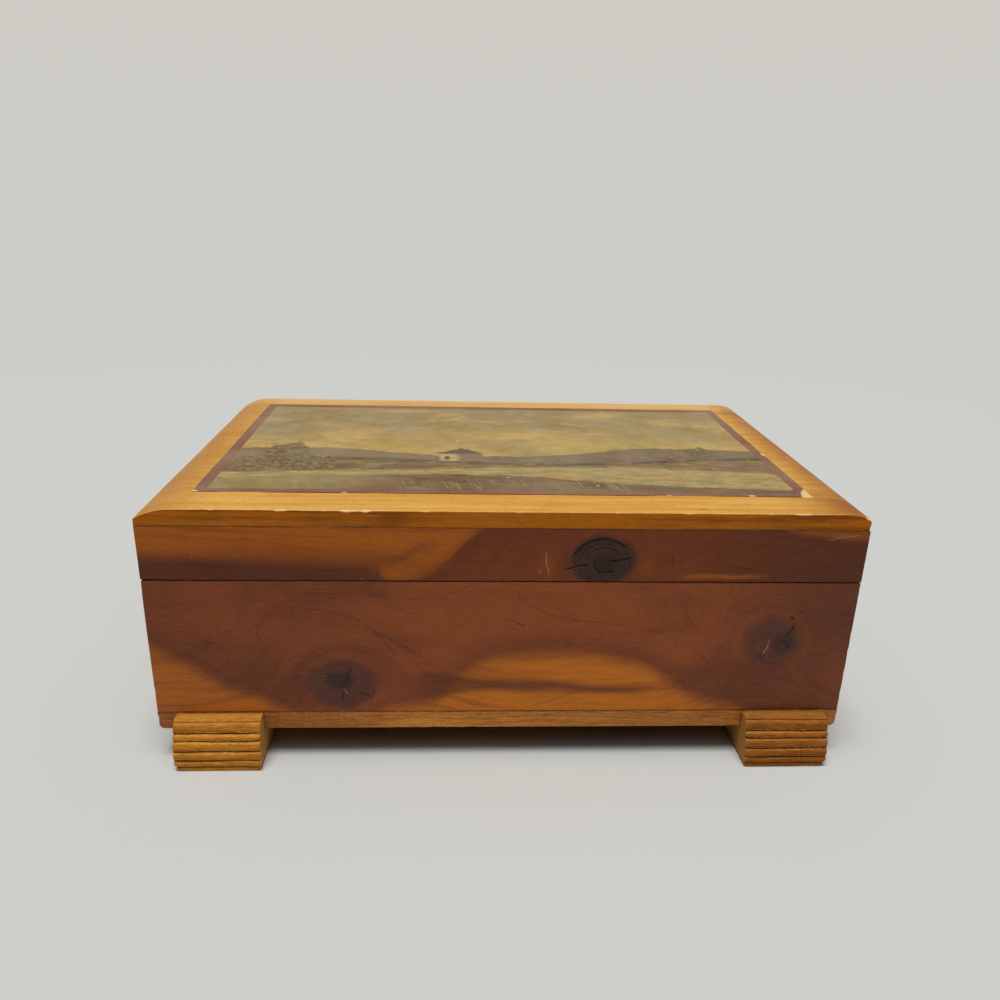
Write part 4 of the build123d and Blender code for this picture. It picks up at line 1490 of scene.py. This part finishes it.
def dull_steel():
    s = Shader("dull_steel")
    x, y, z = s.place()
    rust = s.fade(s.cloud(x * 0.5, y * 0.5, z * 0.5, detail=4, roughness=0.7), 0.5, 0.62)
    colour = s.mix(rust, (0.30, 0.28, 0.26), (0.19, 0.075, 0.030))
    return s.finish(
        height=s.cloud(x * 2, y * 2, z * 2, detail=3),
        relief=0.04,
        Base_Color=colour,
        Metallic=1 - rust * 0.8,
        Roughness=0.42 + rust * 0.35,
    )


def refinish(material, *names):
    """Gives CAD pieces that keep their shape a better finish."""
    for name in names:
        for slot in frame["nodes"][name].material_slots:
            slot.material = material


brass = aged_brass()
for side in ("left", "right"):
    refinish(brass, side + "_hinge_lower_leaf", side + "_hinge_upper_leaf", side + "_hinge_pin")
refinish(brass, "lower_leaf_screws", "upper_leaf_screws")
refinish(dull_steel(), "foot_brads", "bottom_brads")


# Small loose things, scattered by Geometry Nodes along lines


class Scatter(Graph):
    """A tree that sets copies of a small solid along lines, each turned and sized by
    chance. Its sizes are named inputs."""

    SIZES = {"Spacing": 1.0, "Length": 1.0, "Thickness": 0.1, "Stray": 0.1, "Tilt": 0.2}

    def __init__(self, name, rounded):
        super().__init__(bpy.data.node_groups.new(name, "GeometryNodeTree"))
        face = self.tree.interface
        face.new_socket("Lines", in_out="INPUT", socket_type="NodeSocketGeometry")
        self.inputs = {}
        for size, value in self.SIZES.items():
            socket = face.new_socket(size, in_out="INPUT", socket_type="NodeSocketFloat")
            socket.default_value = value
            self.inputs[size] = socket.identifier
        for title, kind in (("Seed", "NodeSocketInt"), ("Material", "NodeSocketMaterial")):
            socket = face.new_socket(title, in_out="INPUT", socket_type=kind)
            self.inputs[title] = socket.identifier
        face.new_socket("Pieces", in_out="OUTPUT", socket_type="NodeSocketGeometry")
        self.start = self.tree.nodes.new("NodeGroupInput")
        self.build(rounded)

    def given(self, name):
        return Value(self, self.start.outputs[name])

    def any_vector(self, low, high, shift):
        seed = self.given("Seed") + shift
        settings = {"data_type": "FLOAT_VECTOR"}
        return self.node("FunctionNodeRandomValue", settings, {0: low, 1: high, "Seed": seed})

    def build(self, rounded):
        curve = self.node("GeometryNodeMeshToCurve", None, {0: self.given("Lines")})
        spacing = {"Curve": curve, "Length": self.given("Spacing")}
        curve = self.node("GeometryNodeResampleCurve", {"mode": "LENGTH"}, spacing)
        stray = self.given("Stray")
        back = 0 - stray
        offset = self.any_vector(self.join(back * 4, back, back), self.join(stray * 4, stray, stray), 1)
        spots = self.node("GeometryNodeSetPosition", None, {"Geometry": curve, "Offset": offset})
        length, thickness = self.given("Length"), self.given("Thickness")
        if rounded:
            solid = self.node("GeometryNodeMeshIcoSphere", None, {"Radius": thickness, "Subdivisions": 2})
        else:
            sizes = {"Vertices": 5, "Radius Top": thickness * 0.15, "Radius Bottom": thickness}
            sizes["Depth"] = length
            solid = self.node("GeometryNodeMeshCone", None, sizes)
            lie_down = {"Geometry": solid, "Rotation": (0.0, math.pi / 2, 0.0)}
            solid = self.node("GeometryNodeTransform", None, lie_down)
        tilt = self.given("Tilt")
        over = 0 - tilt
        turn = self.any_vector(self.join(-3.0, over, over), self.join(3.0, tilt, tilt), 2)
        small, large = (0.5, 0.5, 0.4), (2.2 if rounded else 1.5, 1.0, 1.0)
        scale = self.any_vector(small, large, 3)
        inputs = {"Points": spots, "Instance": solid, "Rotation": turn, "Scale": scale}
        placed = self.node("GeometryNodeInstanceOnPoints", None, inputs)
        real = self.node("GeometryNodeRealizeInstances", None, {0: placed})
        finish = {"Geometry": real, "Material": self.given("Material")}
        self.node("NodeGroupOutput", None, {0: self.node("GeometryNodeSetMaterial", None, finish)})

    def scatter(self, name, lines, material, body, slot, seed, **sizes):
        """Runs the tree on lines of points and leaves a plain mesh that rides on the body."""
        mesh = bpy.data.meshes.new(name)
        points = np.concatenate(lines) * MM
        starts = np.cumsum([0] + [len(line) for line in lines])
        edges = [(n, n + 1) for a, b in zip(starts, starts[1:]) for n in range(a, b - 1)]
        mesh.from_pydata(points.tolist(), edges, [])
        piece = placed(name, mesh)
        modifier = piece.modifiers.new(name, "NODES")
        modifier.node_group = self.tree
        modifier[self.inputs["Seed"]] = seed
        modifier[self.inputs["Material"]] = material
        for size, value in sizes.items():
            modifier[self.inputs[size]] = value if size == "Tilt" else value * MM
        evaluated = piece.evaluated_get(bpy.context.evaluated_depsgraph_get())
        piece.data = bpy.data.meshes.new_from_object(evaluated)
        piece.modifiers.clear()
        piece.data.shade_smooth()
        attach(piece, body)


def splinter_wood():
    s = Shader("splinter_wood")
    x, y, z = s.place()
    fibre = s.cloud(x * 0.8, y * 3, z * 3)
    colour = s.mix(s.fade(fibre, 0.35, 0.65), (0.50, 0.24, 0.06), (0.78, 0.52, 0.22))
    return s.finish(height=fibre, relief=0.05, Base_Color=colour, Roughness=0.6 + fibre * 0.2)


def old_glue():
    s = Shader("old_glue")
    x, y, z = s.place()
    cloud = s.cloud(x * 0.4, y, z, detail=3)
    colour = s.mix(s.fade(cloud, 0.4, 0.6), (0.30, 0.14, 0.035), (0.10, 0.055, 0.025))
    return s.finish(height=cloud, relief=0.1, Base_Color=colour, Roughness=0.3 + cloud * 0.3)


def kerf_lines():
    """Lines along both lips of every kerf of the feet."""
    lines = []
    for name in FEET:
        low, high = corners(name)
        side = -1 if low[Y] < 0 else 1
        xs = np.linspace(low[X] + 0.8, high[X] - 0.8, 9)
        for height in kerf_heights:
            for lip in (-kerf_half - 0.1, kerf_half + 0.1):
                y = side * (half_depth + foot_front(height + lip) - 0.35)
                lines.append(np.stack([xs, np.full(9, y), np.full(9, height + lip)], axis=1))
    return lines


def glue_lines():
    """Lines where the tops and the notches of the feet meet the case."""
    lines = []
    for name in FEET:
        low, high = corners(name)
        y = (half_depth + 0.15) * (-1 if low[Y] < 0 else 1)
        xs = np.linspace(low[X] + 1, high[X] - 1, 9)
        lines.append(np.stack([xs, np.full(9, y), np.full(9, foot_height - 0.02)], axis=1))
        for x in (low[X] - 0.1, high[X] + 0.1):
            zs = np.linspace(base_low[Z] + 0.6, foot_height - 0.6, 5)
            lines.append(np.stack([np.full(5, x), np.full(5, y), zs], axis=1))
    return lines


Scatter("splinters", False).scatter(
    "foot_splinters", kerf_lines(), splinter_wood(), "case", "foot_cedar", 5,
    Spacing=0.8, Length=1.1, Thickness=0.09, Stray=0.14, Tilt=0.35,
)
Scatter("glue_beads", True).scatter(
    "foot_glue", glue_lines(), old_glue(), "case", "foot_cedar", 9,
    Spacing=0.7, Length=1.0, Thickness=0.26, Stray=0.10, Tilt=0.2,
)


# Studio: a pale floor that runs out into a pale surround, soft light from above

FLOOR_NEAR = (0.618, 0.625, 0.598)
FLOOR_FAR = (0.610, 0.598, 0.558)
SURROUND_HIGH = (0.615, 0.598, 0.552)
SKY_SHARE = 0.28
SKY_MEAN = 0.502
floor_radius = 6.0
floor_sides = 96
sun_spread = math.radians(28)


def stage_floor():
    s = Shader("floor_paper")
    x, y, z = s.place()
    away = (x * x + y * y) ** 0.5
    colour = s.mix(s.fade(away, 250, 1600), FLOOR_NEAR, FLOOR_FAR)
    material = s.finish(Base_Color=colour, Roughness=0.9, Specular_IOR_Level=0.0)
    turns = np.linspace(0, 2 * math.pi, floor_sides + 1)[:-1]
    rim = [(floor_radius * math.cos(t), floor_radius * math.sin(t), 0) for t in turns]
    mesh = bpy.data.meshes.new("studio_floor")
    mesh.from_pydata(rim, [], [list(range(len(rim)))])
    mesh.materials.append(material)
    floor = placed("studio_floor", mesh)


class World(Shader):
    """The surround, written like a material."""

    def __init__(self, name):
        self.world = bpy.data.worlds.new(name)
        self.world.use_nodes = True
        Graph.__init__(self, self.world.node_tree)


def surround():
    """Fill light from above. The camera and the varnish see it as a pale surround, which
    takes on the floor's colour at the horizon."""
    s = World("surround")
    height = s.split(s.node("ShaderNodeTexCoord", None, None, "Generated"))[Z]
    rays = s.node("ShaderNodeLightPath").socket.node.outputs
    kinds = ("Is Camera Ray", "Is Glossy Ray", "Is Transmission Ray")
    seen = s.most(*[Value(s, rays[kind]) for kind in kinds])
    strength = s.fade(height, 0.50, 0.90) * SKY_SHARE / SKY_MEAN
    inputs = {0: (1.0, 1.0, 1.0, 1.0), 1: strength}
    light = s.node("ShaderNodeBackground", None, inputs)
    pale = s.mix(s.fade(height, 0.0, 0.35), FLOOR_FAR, SURROUND_HIGH)
    view = s.node("ShaderNodeBackground", None, {0: pale, 1: 1.0})
    mixed = s.node("ShaderNodeMixShader", None, {0: seen, 1: light, 2: view})
    s.node("ShaderNodeOutputWorld", None, {0: mixed})
    bpy.context.scene.world = s.world


def overhead_light():
    lean = Vector((-0.05, -0.15, 1.0)).normalized()
    sun = bpy.data.lights.new("overhead", "SUN")
    sun.energy = math.pi * (1 - SKY_SHARE) / lean.z
    sun.angle = sun_spread
    lamp = placed("overhead", sun)
    lamp.rotation_mode = "QUATERNION"
    lamp.rotation_quaternion = lean.to_track_quat("Z", "Y")


def camera():
    """The photograph's camera: low in front, a little left of the middle."""
    place = Vector((-19.34, -355.17, 204.39)) * MM
    pitch, yaw, roll = [math.radians(angle) for angle in (19.956, 3.222, 1.6185)]
    forward = Vector((math.sin(yaw) * math.cos(pitch), math.cos(yaw) * math.cos(pitch), -math.sin(pitch)))
    level = Vector((math.cos(yaw), -math.sin(yaw), 0))
    upright = level.cross(forward)
    right = level * math.cos(roll) + upright * math.sin(roll)
    up = upright * math.cos(roll) - level * math.sin(roll)
    turned = Matrix((right, up, -forward)).transposed()
    lens = bpy.data.cameras.new("camera")
    lens.lens = 30.135
    lens.sensor_width = 36
    lens.clip_start = 0.01
    viewer = placed("camera", lens)
    viewer.matrix_world = Matrix.Translation(place) @ turned.to_4x4()
    bpy.context.scene.camera = viewer


stage_floor()
surround()
overhead_light()
camera()
bpy.context.scene.view_settings.view_transform = "Standard"
